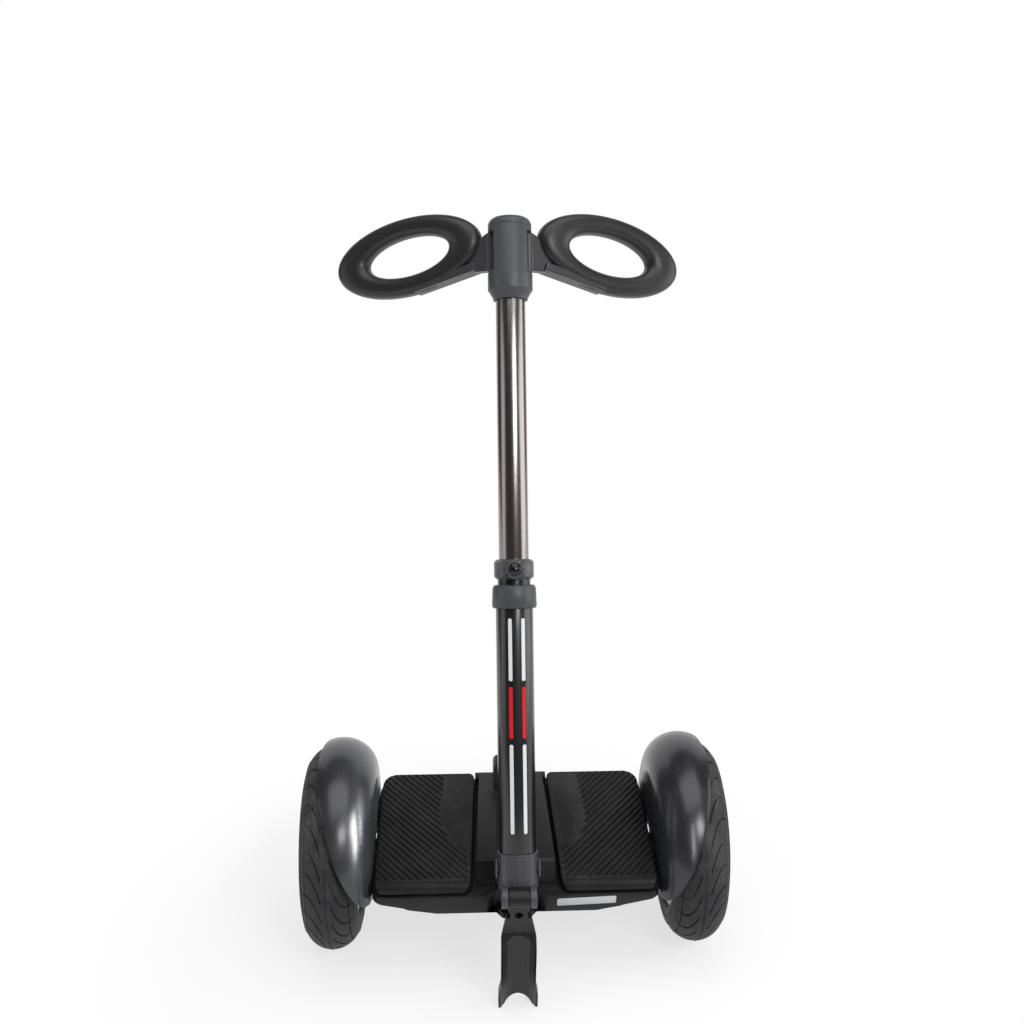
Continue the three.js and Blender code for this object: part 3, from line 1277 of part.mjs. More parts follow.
function legGeometry() {
  const blankEnd = legLength + 2 * overrun;
  const front = outline([
    [-tongueHalfWidth, 0], [-tongueHalfWidth, -shoulderDrop], [-neckHalfWidth, -shoulderDrop],
    [-neckHalfWidth, -shoulderDrop - legEdge, legEdge], [-legHalfWidth, -neckEnd, legEdge],
    [-legHalfWidth, -footFlareStart, legEdge], [-footHalfWidth, -footFlareEnd, legEdge],
    [-footHalfWidth, -blankEnd], [footHalfWidth, -blankEnd],
    [footHalfWidth, -footFlareEnd, legEdge], [legHalfWidth, -footFlareStart, legEdge],
    [legHalfWidth, -neckEnd, legEdge], [neckHalfWidth, -shoulderDrop - legEdge, legEdge],
    [neckHalfWidth, -shoulderDrop], [tongueHalfWidth, -shoulderDrop], [tongueHalfWidth, 0],
  ]);
  const side = outline([
    [neckFrontForward, 0], [legBackForward, 0], [legBackForward, -blankEnd],
    [channelLipForward, -blankEnd], [channelLipForward, -channelLipStart, legEdge],
    [neckFrontForward, -channelStart + legEdge, legEdge],
  ]);
  const depth = Math.abs(channelLipY) + legBack + overrun;
  const blank = common(fromFront(front, -depth, depth), fromSide(side, -footHalfWidth, footHalfWidth));
  const back = turnedAlongZ([
    [0, -blankEnd], [footBackRadius, -blankEnd], [footBackRadius, -footFlareEnd],
    [channelBackRadius, -footFlareStart], [channelBackRadius, -channelLipStart],
    [legBack - channelAxisY, -shoulderDrop], [legBack - channelAxisY, 0], [0, 0],
  ], tubeSides).translate(0, channelAxisY, 0);
  const channel = turnedAlongZ([
    [0, -blankEnd - overrun], [channelRadius, -blankEnd - overrun], [channelRadius, -channelStart - legEdge],
    [channelRadius - legEdge, -channelStart], [0, -channelStart],
  ], tubeSides).translate(0, channelAxisY, 0);
  const knuckle = turnedAlongX(rodProfile(hingeRadius, -tongueHalfWidth, tongueHalfWidth), tubeSides);
  const pinHole = turnedAlongX(
    rodProfile(hingePinRadius + clearance, -tongueHalfWidth - overrun, tongueHalfWidth + overrun), rodSides,
  );
  const arch = turnedAlongY(rodProfile(footArchRadius, -depth, depth), tubeSides)
    .translate(0, 0, footArchHeight - footArchRadius - legLength);
  const hexHole = turnedAlongY(rodProfile(hexHoleRadius, -depth, 0), hexSides).translate(0, 0, -hexHoleDrop);
  const groundSide = 2 * legLength;
  const ground = new THREE.BoxGeometry(groundSide, groundSide, groundSide)
    .translate(0, 0, -groundSide / 2 - hingeHeight)
    .rotateX(-radians(standLeanAngle));
  return cut(join(common(blank, back), knuckle), pinHole, channel, arch, hexHole, ground);
}

buildDeck();
buildStem();
buildMast();
add(leg, "stand_leg", legGeometry(), "castGrey");

// The origin is under the middle of the whole transporter, on the ground
transporter.updateMatrixWorld(true);
const reach = new THREE.Box3().setFromObject(transporter, true);
stance.position.set(-(reach.min.x + reach.max.x) / 2, -(reach.min.y + reach.max.y) / 2, -reach.min.z);

export default transporter;
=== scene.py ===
import json
import math

import bmesh
import bpy
from mathutils import Matrix, Vector


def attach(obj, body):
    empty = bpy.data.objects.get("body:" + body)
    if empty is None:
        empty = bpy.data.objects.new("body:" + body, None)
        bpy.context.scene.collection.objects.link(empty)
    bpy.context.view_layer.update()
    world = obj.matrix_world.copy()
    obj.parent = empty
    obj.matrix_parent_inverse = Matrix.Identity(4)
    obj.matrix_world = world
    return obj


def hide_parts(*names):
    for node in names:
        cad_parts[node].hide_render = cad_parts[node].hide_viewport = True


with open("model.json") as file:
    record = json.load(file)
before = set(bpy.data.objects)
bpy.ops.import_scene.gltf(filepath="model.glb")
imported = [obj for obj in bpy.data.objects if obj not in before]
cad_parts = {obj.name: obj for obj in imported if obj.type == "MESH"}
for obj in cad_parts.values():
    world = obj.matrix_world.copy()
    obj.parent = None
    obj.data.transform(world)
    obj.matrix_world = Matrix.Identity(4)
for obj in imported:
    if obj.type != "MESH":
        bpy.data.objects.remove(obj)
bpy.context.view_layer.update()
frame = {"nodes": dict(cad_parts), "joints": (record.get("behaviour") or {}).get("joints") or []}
nodes = frame["nodes"]
joints = {joint["name"]: joint for joint in frame["joints"]}
print("frame loaded:", len(nodes), "nodes")

# local frames in millimetres, the same ones as the solids: deck, stem, wings and stand
stance = {"noseDown": 8, "rake": 27.4, "standLean": 14.5, "socketForward": 130, "socketUp": 96,
          "hingeForward": 30, "hingeDrop": 48, "wingX": 22.5, "wingUp": 697, "wingSweep": 20,
          "gripOut": 107.5, "gripUp": 27, "droop": 10}
millimetre = Matrix.Scale(0.001, 4)


def turn(axis, degrees):
    return Matrix.Rotation(math.radians(degrees), 4, axis)


def shift(x, y, z):
    return Matrix.Translation((x, y, z))


wheelPlace = joints["wheel_right_spin"]["pos_m"]
deckFrame = shift(0, wheelPlace[1], wheelPlace[2]) @ turn("X", stance["noseDown"]) @ millimetre
stemFrame = deckFrame @ shift(0, -stance["socketForward"], stance["socketUp"]) @ turn("X", -stance["rake"])


def wheelFrame(side):
    return deckFrame @ shift(wheelPlace[0] * 1000 * side, 0, 0) @ Matrix.Diagonal((side, 1, 1, 1))


def wingFrame(side):
    return stemFrame @ shift(stance["wingX"] * side, 0, stance["wingUp"]) @ turn(
        "Z", stance["wingSweep"] * side) @ Matrix.Diagonal((side, 1, 1, 1))


def gripFrame(side):
    return wingFrame(side) @ shift(stance["gripOut"], 0, stance["gripUp"]) @ turn("Y", stance["droop"])


bothSides = ((-1, "left"), (1, "right"))


# mesh helpers: a piece is made in millimetres in its local frame, then placed
def addObject(name, data):
    item = bpy.data.objects.new(name, data)
    bpy.context.scene.collection.objects.link(item)
    return item


def meshObject(name, points, edges, faces):
    mesh = bpy.data.meshes.new(name)
    mesh.from_pydata(points, edges, faces)
    return addObject(name, mesh)


def localPiece(name, shape):
    points, faces = shape
    piece = meshObject(name, [tuple(p) for p in points], [], faces)
    piece.data.validate()
    return mergeDoubles(piece, 0.002)


def mergeDoubles(piece, distance):
    work = bmesh.new()
    work.from_mesh(piece.data)
    bmesh.ops.remove_doubles(work, verts=work.verts, dist=distance)
    bmesh.ops.recalc_face_normals(work, faces=work.faces)
    work.to_mesh(piece.data)
    work.free()
    return piece


def shade(piece, angle):
    piece.data.shade_smooth()
    piece.data.set_sharp_from_angle(angle=math.radians(angle))
    return piece


def placePiece(piece, place, angle=34):
    piece.data.transform(place)
    return shade(mergeDoubles(piece, 2e-6), angle)


def addModifier(piece, kind, **settings):
    modifier = piece.modifiers.new(kind.lower(), kind)
    for name, value in settings.items():
        setattr(modifier, name, value)
    return modifier


def bakeModifiers(piece):
    depsgraph = bpy.context.evaluated_depsgraph_get()
    mesh = bpy.data.meshes.new_from_object(piece.evaluated_get(depsgraph), depsgraph=depsgraph)
    piece.modifiers.clear()
    old = piece.data
    piece.data = mesh
    bpy.data.meshes.remove(old)
    return piece


def roundEdges(piece, width, segments=3, angle=34):
    addModifier(piece, "BEVEL", width=width, segments=segments, limit_method="ANGLE",
                angle_limit=math.radians(angle), use_clamp_overlap=True, miter_outer="MITER_ARC")
    return bakeModifiers(piece)


def revolve(profile, sides, axis="Z"):
    closed = profile[0] == profile[-1]
    rings = profile[:-1] if closed else profile
    points, index = [], []
    for radius, along in rings:
        if radius == 0:
            index.append([len(points)] * sides)
            points.append((0, 0, along))
            continue
        index.append([len(points) + k for k in range(sides)])
        for k in range(sides):
            a = 2 * math.pi * k / sides
            points.append((radius * math.cos(a), radius * math.sin(a), along))
    faces = []
    count = len(rings)
    for i in range(count if closed else count - 1):
        here, there = index[i], index[(i + 1) % count]
        for k in range(sides):
            n = (k + 1) % sides
            face = list(dict.fromkeys([here[k], here[n], there[n], there[k]]))
            if len(face) > 2:
                faces.append(face)
    if axis == "X":
        points = [(z, x, y) for x, y, z in points]
    if axis == "Y":
        points = [(y, z, x) for x, y, z in points]
    return points, faces


def bands(count, rows, ring=False, around=True):
    # quads between rows of count points: ring joins the last row to the first, around joins each row's ends
    faces = []
    for i in range(rows if ring else rows - 1):
        a, b = i * count, ((i + 1) % rows) * count
        for j in range(count if around else count - 1):
            k = (j + 1) % count
            faces.append([a + j, b + j, b + k, a + k])
    return faces


def loft(rows, ring):
    count = len(rows[0])
    faces = bands(count, len(rows), ring)
    if not ring:
        last = (len(rows) - 1) * count
        faces += [list(range(count))[::-1], list(range(last, last + count))]
    return [p for row in rows for p in row], faces


def roundedOutline(corners, steps=8):
    # corners are (a, b) or (a, b, rounding)
    result = []
    count = len(corners)
    for i, corner in enumerate(corners):
        here = Vector(corner[:2])
        rounding = corner[2] if len(corner) > 2 else 0
        if not rounding:
            result.append(here)
            continue
        before = Vector(corners[i - 1][:2]) - here
        after = Vector(corners[(i + 1) % count][:2]) - here
        start = here + before.normalized() * rounding
        end = here + after.normalized() * rounding
        for s in range(steps + 1):
            t = s / steps
            result.append(start * (1 - t) ** 2 + here * 2 * t * (1 - t) + end * t * t)
    return result


def prism(corners, low, high, plane, steps=8):
    # XF: plan of (x, forward); FU: side of (forward, up); XU: front of (x, up)
    outline = roundedOutline(corners, steps)
    count = len(outline)
    points = [{"XF": (a, -b, level), "FU": (level, -a, b), "XU": (a, -level, b)}[plane]
              for level in (low, high) for a, b in outline]
    faces = [list(range(count)), list(range(2 * count - 1, count - 1, -1))]
    for k in range(count):
        n = (k + 1) % count
        faces.append([k, n, count + n, count + k])
    return points, faces


def rod(radius, low, high, edge=0.0):
    # a turned rod's profile of (radius, along) with rounded ends
    line = [(0, low)]
    for end, away in ((low, -1), (high, 1)):
        for s in range(5):
            a = math.radians(90 * (s if away > 0 else 4 - s) / 4)
            line.append((radius - edge + edge * math.cos(a), end - away * edge + away * edge * math.sin(a)))
    return line + [(0, high)]


def solid(corners, low, high, plane):
    return localPiece("solid", prism(corners, low, high, plane, 10))


def block(left, right, rear, front, low, high):
    return solid([(left, rear), (right, rear), (right, front), (left, front)], low, high, "XF")


def turned(profile, axis, x=0, y=0, z=0, sides=64):
    piece = localPiece("turned", revolve(profile, sides, axis))
    piece.data.transform(shift(x, y, z))
    return piece


def mirrored(right):
    # an outline from its right half, which starts at the rear or the foot
    left = [(-p[0], *p[1:]) for p in right]
    return [left[0], *right, *reversed(left[1:])]


def combine(piece, operation, *tools):
    for tool in tools:
        addModifier(piece, "BOOLEAN", operation=operation, solver="EXACT", object=tool)
    bakeModifiers(piece)
    for tool in tools:
        bpy.data.objects.remove(tool)
    return piece


def nodeCopy(name):
    mesh = nodes[name].data.copy()
    mesh.materials.clear()
    return mergeDoubles(addObject(name + "_skin", mesh), 2e-6)


def turnedCopy(name, width):
    # a node's own shape with its edges rounded as a cutter leaves them
    piece = nodeCopy(name)
    work = bmesh.new()
    work.from_mesh(piece.data)
    bmesh.ops.dissolve_limit(work, angle_limit=math.radians(0.5), verts=work.verts, edges=work.edges)
    work.to_mesh(piece.data)
    work.free()
    return shade(roundEdges(piece, width * 0.001), 34)


def castPiece(piece, grain, passes, keep):
    # soften a joined blank inside and out, as a casting is, with voxels of the grain's size
    addModifier(piece, "REMESH", mode="VOXEL", voxel_size=grain)
    addModifier(piece, "SMOOTH", factor=0.5, iterations=passes)
    addModifier(piece, "DECIMATE", ratio=keep)
    bakeModifiers(piece)
    print("cast", piece.name, len(piece.data.polygons), "faces")
    return piece


def settle(piece, body, material, *replaced, slot=None):
    for node in replaced:
        if "shine_" + node in bpy.data.collections:
            bpy.data.collections["shine_" + node].objects.link(piece)
    piece.data.materials.clear()
    piece.data.materials.append(paint[material])
    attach(piece, body)
    if replaced:
        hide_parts(*replaced)
    return piece


# node helpers: a value is a number, a tuple or another node's socket
def feed(tree, socket, value):
    if isinstance(value, bpy.types.NodeSocket):
        tree.links.new(value, socket)
    elif isinstance(value, tuple) and socket.type == "RGBA":
        socket.default_value = (*value[:3], 1)
    else:
        socket.default_value = value


def addNode(tree, kind, values=None, **settings):
    node = tree.nodes.new(kind)
    for name, setting in settings.items():
        setattr(node, name, setting)
    for key, value in (values or {}).items():
        feed(tree, node.inputs[key], value)
    return node


def mathNode(tree, operation, *values, clamp=False):
    node = addNode(tree, "ShaderNodeMath", dict(enumerate(values)), operation=operation, use_clamp=clamp)
    return node.outputs[0]


def newTree(kind, name, inputs, outputs):
    tree = bpy.data.node_groups.new(name, kind)
    for label, socketKind, value in inputs:
        socket = tree.interface.new_socket(label, in_out="INPUT", socket_type="NodeSocket" + socketKind)
        if value is not None:
            socket.default_value = value
    for label, socketKind in outputs:
        tree.interface.new_socket(label, in_out="OUTPUT", socket_type="NodeSocket" + socketKind)
    return tree, tree.nodes.new("NodeGroupInput").outputs, tree.nodes.new("NodeGroupOutput").inputs


# geometry trees for what repeats: tread pitches, pad grooves and screws
def newShape(name, *inputs):
    return newTree("GeometryNodeTree", name, [("Geometry", "Geometry", None), *inputs,
                                              ("Material", "Material", None)],
                   [("Geometry", "Geometry")])


def closeShape(tree, given, out, geometry):
    real = addNode(tree, "GeometryNodeRealizeInstances", {0: geometry})
    finished = addNode(tree, "GeometryNodeSetMaterial",
                       {"Geometry": real.outputs[0], "Material": given["Material"]})
    feed(tree, out[0], finished.outputs[0])
    return tree


def growTree(piece, tree, material, **values):
    modifier = addModifier(piece, "NODES", node_group=tree)
    values["Material"] = paint[material]
    for item in tree.interface.items_tree:
        if item.item_type == "SOCKET" and item.in_out == "INPUT" and item.name in values:
            modifier[item.identifier] = values[item.name]
    return bakeModifiers(piece)


def makeAroundAxle():
    tree, given, out = newShape("aroundAxle", ("Repeats", "Int", 27))
    points = addNode(tree, "GeometryNodePoints", {"Count": given["Repeats"]})
    step = mathNode(tree, "DIVIDE", 2 * math.pi, given["Repeats"])
    angle = mathNode(tree, "MULTIPLY", tree.nodes.new("GeometryNodeInputIndex").outputs[0], step)
    spin = addNode(tree, "ShaderNodeCombineXYZ", {"X": angle})
    spun = addNode(tree, "FunctionNodeEulerToRotation", {0: spin.outputs[0]})
    copies = addNode(tree, "GeometryNodeInstanceOnPoints", {
        "Points": points.outputs[0], "Instance": given["Geometry"], "Rotation": spun.outputs[0]})
    return closeShape(tree, given, out, copies.outputs[0])


def makeCutGrooves():
    tree, given, out = newShape("cutGrooves", ("Guides", "Object", None), ("Radius", "Float", 1.3),
                                ("Sides", "Int", 10))
    guides = addNode(tree, "GeometryNodeObjectInfo", {"Object": given["Guides"]})
    paths = addNode(tree, "GeometryNodeMeshToCurve", {0: guides.outputs["Geometry"]})
    ring = addNode(tree, "GeometryNodeCurvePrimitiveCircle",
                   {"Resolution": given["Sides"], "Radius": given["Radius"]})
    rods = addNode(tree, "GeometryNodeCurveToMesh", {
        "Curve": paths.outputs[0], "Profile Curve": ring.outputs[0], "Fill Caps": True})
    cut = addNode(tree, "GeometryNodeMeshBoolean", {"Mesh 1": given["Geometry"], "Mesh 2": rods.outputs[0]},
                  operation="DIFFERENCE")
    return closeShape(tree, given, out, cut.outputs[0])


def makeFitScrews():
    tree, given, out = newShape("fitScrews", ("Head", "Object", None), ("Size", "Float", 3.0),
                                ("Seed", "Int", 5))
    head = addNode(tree, "GeometryNodeObjectInfo", {"Object": given["Head"]})
    facing = addNode(tree, "GeometryNodeInputNamedAttribute", {"Name": "facing"}, data_type="FLOAT_VECTOR")
    aimed = addNode(tree, "FunctionNodeAlignRotationToVector", {"Vector": facing.outputs[0]}, axis="Z")
    chance = addNode(tree, "FunctionNodeRandomValue", {"Max": math.pi, "Seed": given["Seed"]})
    spin = addNode(tree, "ShaderNodeCombineXYZ", {"Z": chance.outputs["Value"]})
    spun = addNode(tree, "FunctionNodeEulerToRotation", {0: spin.outputs[0]})
    both = addNode(tree, "FunctionNodeRotateRotation", {0: aimed.outputs[0], 1: spun.outputs[0]},
                   rotation_space="LOCAL")
    copies = addNode(tree, "GeometryNodeInstanceOnPoints", {
        "Points": given["Geometry"], "Instance": head.outputs["Geometry"], "Rotation": both.outputs[0],
        "Scale": given["Size"]})
    return closeShape(tree, given, out, copies.outputs[0])


aroundAxle = makeAroundAxle()
cutGrooves = makeCutGrooves()
fitScrews = makeFitScrews()
print("geometry trees built")


# shader groups shared by the materials
def newGroup(name, inputs, *outputs):
    return newTree("ShaderNodeTree", name, inputs, outputs)


def rampNode(tree, value, low, high):
    return addNode(tree, "ShaderNodeMapRange", {"From Min": low, "From Max": high, "Value": value},
                   interpolation_type="SMOOTHSTEP").outputs["Result"]


def mixColour(tree, factor, first, second):
    return addNode(tree, "ShaderNodeMix", {0: factor, 6: first, 7: second}, data_type="RGBA").outputs[2]


def noiseNode(tree, vector, scale, detail=3.0, roughness=0.55):
    return addNode(tree, "ShaderNodeTexNoise", {"Vector": vector, "Scale": scale, "Detail": detail,
                                                "Roughness": roughness}).outputs["Fac"]


def makeToneDrift():
    group, given, out = newGroup("toneDrift", [("Colour", "Color", None), ("Vector", "Vector", None),
                                               ("Scale", "Float", 9.0), ("Amount", "Float", 0.2)],
                                 ("Colour", "Color"))
    drift = noiseNode(group, given["Vector"], given["Scale"], 4.0)
    swing = mathNode(group, "MULTIPLY", mathNode(group, "SUBTRACT", drift, 0.5), 2.0)
    level = mathNode(group, "MULTIPLY_ADD", swing, given["Amount"], 1.0)
    toned = addNode(group, "ShaderNodeVectorMath", {0: given["Colour"], "Scale": level}, operation="SCALE")
    feed(group, out[0], toned.outputs[0])
    return group


def makeMouldGrain():
    group, given, out = newGroup("mouldGrain", [("Vector", "Vector", None), ("Scale", "Float", 900.0)],
                                 ("Height", "Float"))
    cells = addNode(group, "ShaderNodeTexVoronoi", {"Vector": given["Vector"], "Scale": given["Scale"]},
                    feature="SMOOTH_F1")
    fine = noiseNode(group, given["Vector"], mathNode(group, "MULTIPLY", given["Scale"], 1.7), 2.0)
    feed(group, out[0], mathNode(group, "MULTIPLY_ADD", cells.outputs["Distance"], 0.7,
                                 mathNode(group, "MULTIPLY", fine, 0.4)))
    return group


def makeDustVeil():
    group, given, out = newGroup("dustVeil", [
        ("Colour", "Color", None), ("Dust", "Color", (0.3, 0.29, 0.27, 1)), ("Vector", "Vector", None),
        ("Amount", "Float", 0.15), ("Hollows", "Float", 0.0)], ("Colour", "Color"), ("Mask", "Float"))
    shape = group.nodes.new("ShaderNodeNewGeometry")
    split = addNode(group, "ShaderNodeSeparateXYZ", {0: shape.outputs["Normal"]})
    upward = rampNode(group, split.outputs["Z"], -0.1, 0.9)
    patches = rampNode(group, noiseNode(group, given["Vector"], 26.0, 6.0, 0.65), 0.38, 0.72)
    specks = rampNode(group, noiseNode(group, given["Vector"], 420.0, 2.0, 0.7), 0.5, 0.72)
    facing = mathNode(group, "MULTIPLY_ADD", upward, 0.6, 0.4)
    spread = mathNode(group, "MULTIPLY_ADD", specks, 0.45, mathNode(group, "MULTIPLY", patches, 0.55))
    cover = mathNode(group, "MULTIPLY", facing, spread)
    lying = mathNode(group, "MULTIPLY", cover, given["Amount"])
    hollow = rampNode(group, mathNode(group, "SUBTRACT", 1.0, shape.outputs["Pointiness"]), 0.5, 0.56)
    packed = mathNode(group, "MULTIPLY", mathNode(group, "MULTIPLY", hollow, patches), given["Hollows"])
    mask = mathNode(group, "ADD", lying, packed, clamp=True)
    feed(group, out["Colour"], mixColour(group, mask, given["Colour"], given["Dust"]))
    feed(group, out["Mask"], mask)
    return group


# lighter colour on ridges, found by pointiness and broken by noise: partly paint rubbed through, partly a
# painted edge highlight
def makeEdgeWearAndHighlight():
    group, given, out = newGroup("edgeWearAndHighlight", [("Vector", "Vector", None), ("Amount", "Float", 0.5)],
                                 ("Mask", "Float"))
    shape = group.nodes.new("ShaderNodeNewGeometry")
    ridge = rampNode(group, shape.outputs["Pointiness"], 0.53, 0.62)
    broken = rampNode(group, noiseNode(group, given["Vector"], 120.0, 5.0, 0.7), 0.42, 0.62)
    rubbedAndLit = mathNode(group, "MULTIPLY", ridge, broken)
    feed(group, out[0], mathNode(group, "MULTIPLY", rubbedAndLit, given["Amount"], clamp=True))
    return group


def makeDrawnLines():
    # fine lines along a drawn tube: the vector is turned until the tube's length is its Z
    group, given, out = newGroup("drawnLines", [("Vector", "Vector", None), ("Turn", "Vector", None),
                                                ("Stretch", "Vector", (900, 900, 6))], ("Lines", "Float"))
    level = addNode(group, "ShaderNodeMapping", {"Vector": given["Vector"], "Rotation": given["Turn"]})
    drawn = addNode(group, "ShaderNodeVectorMath", {0: level.outputs[0], 1: given["Stretch"]},
                    operation="MULTIPLY")
    feed(group, out[0], noiseNode(group, drawn.outputs[0], 1.0, 3.0, 0.6))
    return group


def makeMouldSeam():
    # the parting line that two mould halves leave in the middle of a piece
    group, given, out = newGroup("mouldSeam", [("Vector", "Vector", None), ("Half", "Float", 0.0006)],
                                 ("Height", "Float"))
    split = addNode(group, "ShaderNodeSeparateXYZ", {0: given["Vector"]})
    away = mathNode(group, "ABSOLUTE", split.outputs["X"])
    feed(group, out[0], mathNode(group, "SUBTRACT", 1.0, mathNode(group, "DIVIDE", away, given["Half"]),
                                 clamp=True))
    return group


toneDrift = makeToneDrift()
mouldGrain = makeMouldGrain()
dustVeil = makeDustVeil()
edgeWearAndHighlight = makeEdgeWearAndHighlight()
drawnLines = makeDrawnLines()
mouldSeam = makeMouldSeam()


def useGroup(tree, group, **values):
    return addNode(tree, "ShaderNodeGroup", values, node_tree=group).outputs


def srgb(r, g, b):
    return tuple(((c / 255 + 0.055) / 1.055) ** 2.4 if c > 10 else c / 255 / 12.92 for c in (r, g, b))


def newMaterial(name):
    material = bpy.data.materials.new(name)
    material.use_nodes = True
    tree = material.node_tree
    return material, tree, tree.nodes["Principled BSDF"]


def finish(name, look):
    material, tree, bsdf = newMaterial(name)
    place = tree.nodes.new("ShaderNodeTexCoord").outputs["Object"]
    toned = useGroup(tree, toneDrift, Colour=look["colour"], Vector=place, Scale=look.get("driftScale", 9.0),
                     Amount=look.get("drift", 0.12))[0]
    smear = mathNode(tree, "SUBTRACT", noiseNode(tree, place, 38.0, 4.0, 0.6), 0.5)
    rough = mathNode(tree, "MULTIPLY_ADD", smear, look.get("smear", 0.12), look["roughness"])
    if "dust" in look:
        veil = useGroup(tree, dustVeil, Colour=toned, Vector=place, Amount=look["dust"],
                        Hollows=look.get("hollows", 0.0))
        toned = veil["Colour"]
        rough = mathNode(tree, "MULTIPLY_ADD", veil["Mask"], 0.5, rough)
    # ridges mixed towards a lighter tone: worn paint and a painted edge highlight together
    if "rubAndHighlight" in look:
        wearAndHighlight = useGroup(tree, edgeWearAndHighlight, Vector=place, Amount=look["rubAndHighlight"])[0]
        toned = mixColour(tree, wearAndHighlight, toned, look["under"])
    if "drawn" in look:
        lines = useGroup(tree, drawnLines, Vector=place, Turn=look["turn"])[0]
        rough = mathNode(tree, "MULTIPLY_ADD", mathNode(tree, "SUBTRACT", lines, 0.5), look["drawn"], rough)
    feed(tree, bsdf.inputs["Base Color"], toned)
    feed(tree, bsdf.inputs["Roughness"], mathNode(tree, "MAXIMUM", rough, 0.05))
    for socket, key, usual in (("Metallic", "metal", 0.0), ("Specular IOR Level", "specular", 0.5),
                               ("Coat Weight", "coat", 0.0), ("Coat Roughness", "coatRoughness", 0.08),
                               ("Sheen Weight", "sheen", 0.0)):
        bsdf.inputs[socket].default_value = look.get(key, usual)
    if "grain" in look:
        height = useGroup(tree, mouldGrain, Vector=place, Scale=look["grainScale"])[0]
        if "seam" in look:
            ridge = useGroup(tree, mouldSeam, Vector=place)[0]
            height = mathNode(tree, "MULTIPLY_ADD", ridge, look["seam"], height)
        bump = addNode(tree, "ShaderNodeBump",
                       {"Strength": look["grain"], "Distance": 0.0004, "Height": height})
        feed(tree, bsdf.inputs["Normal"], bump.outputs[0])
    return material


looks = {
    "tyreRubber": {"colour": srgb(41, 42, 44), "roughness": 0.6, "specular": 0.34, "dust": 0.32,
                   "hollows": 0.6, "grain": 0.35, "grainScale": 1400.0, "drift": 0.18, "driftScale": 22.0},
    "padRubber": {"colour": srgb(22, 22, 24), "roughness": 0.5, "specular": 0.25, "dust": 0.06, "grain": 0.3,
                  "grainScale": 1100.0, "drift": 0.15},
    "gripSkin": {"colour": srgb(30, 29, 30), "roughness": 0.38, "specular": 0.5, "grain": 0.18,
                 "grainScale": 1500.0, "drift": 0.1, "sheen": 0.1},
    "fenderPlastic": {"colour": srgb(33, 34, 39), "roughness": 0.25, "specular": 0.6, "grain": 0.08,
                      "grainScale": 700.0, "drift": 0.08, "dust": 0.05},
    "shellPlastic": {"colour": srgb(18, 19, 22), "roughness": 0.42, "specular": 0.26, "grain": 0.3,
                     "grainScale": 1000.0, "dust": 0.04},
    "hubPlastic": {"colour": srgb(70, 71, 74), "roughness": 0.4, "specular": 0.4, "grain": 0.25,
                   "grainScale": 1100.0, "drift": 0.08},
    "armPlastic": {"colour": srgb(54, 54, 56), "roughness": 0.34, "specular": 0.45, "grain": 0.2,
                   "grainScale": 1100.0, "drift": 0.08},
    # the cast and stand paints' lighter ridges are partly worn paint and partly a painted edge highlight
    "castPaint": {"colour": srgb(64, 64, 69), "roughness": 0.36, "specular": 0.55, "grain": 0.65, "seam": 1.6,
                  "grainScale": 650.0, "rubAndHighlight": 0.5, "under": (0.34, 0.34, 0.35), "drift": 0.12},
    "standPaint": {"colour": srgb(16, 17, 19), "roughness": 0.4, "specular": 0.4, "grain": 0.45,
                   "grainScale": 700.0, "rubAndHighlight": 0.8, "under": (0.4, 0.4, 0.41), "drift": 0.12},
    "tubePaint": {"colour": srgb(15, 15, 17), "roughness": 0.4, "specular": 0.4, "coat": 0.8,
                  "coatRoughness": 0.16, "drift": 0.1, "smear": 0.08},
    "anodised": {"colour": srgb(148, 142, 140), "roughness": 0.24, "metal": 1.0, "drift": 0.04, "smear": 0.04,
                 "drawn": 0.05, "turn": (math.radians(stance["rake"] - stance["noseDown"]), 0, 0)},
    "alloy": {"colour": srgb(150, 153, 158), "roughness": 0.36, "metal": 1.0, "drift": 0.06, "grain": 0.15,
              "grainScale": 500.0},
    "steel": {"colour": srgb(150, 152, 156), "roughness": 0.3, "metal": 1.0, "drift": 0.05},
    "screwSteel": {"colour": srgb(92, 93, 96), "roughness": 0.34, "metal": 1.0, "drift": 0.08},
    "buttonPlastic": {"colour": srgb(18, 18, 20), "roughness": 0.25, "specular": 0.5, "drift": 0.05},
    "copper": {"colour": srgb(168, 100, 60), "roughness": 0.4, "metal": 1.0, "drift": 0.2,
               "driftScale": 60.0},
    "magnetCoat": {"colour": srgb(110, 112, 116), "roughness": 0.35, "metal": 1.0},
    "batteryWrap": {"colour": srgb(52, 96, 140), "roughness": 0.5, "drift": 0.1},
    "boardGreen": {"colour": srgb(36, 92, 60), "roughness": 0.5, "drift": 0.15},
    "amberBush": {"colour": srgb(110, 92, 60), "roughness": 0.6, "drift": 0.1},
    "plainWhite": {"colour": srgb(222, 223, 225), "roughness": 0.35, "specular": 0.45, "drift": 0.03},
    "plainRed": {"colour": srgb(208, 28, 40), "roughness": 0.35, "specular": 0.45, "drift": 0.04},
}
paint = {name: finish(name, look) for name, look in looks.items()}
print("materials made:", len(paint))

# camera at the photograph's angle
view = {"at": (-0.0565, -1.4213, 1.0365), "tilt": 72.6, "pan": -2.21, "lens": 43.59, "sensor": 36}


def placeCamera():
    camera = bpy.data.cameras.new("photoCamera")
    camera.sensor_width = view["sensor"]
    camera.lens = view["lens"]
    camera.clip_end = 50
    stand = addObject("photoCamera", camera)
    stand.location = view["at"]
    stand.rotation_euler = (math.radians(view["tilt"]), 0, math.radians(view["pan"]))
    bpy.context.scene.camera = stand


placeCamera()

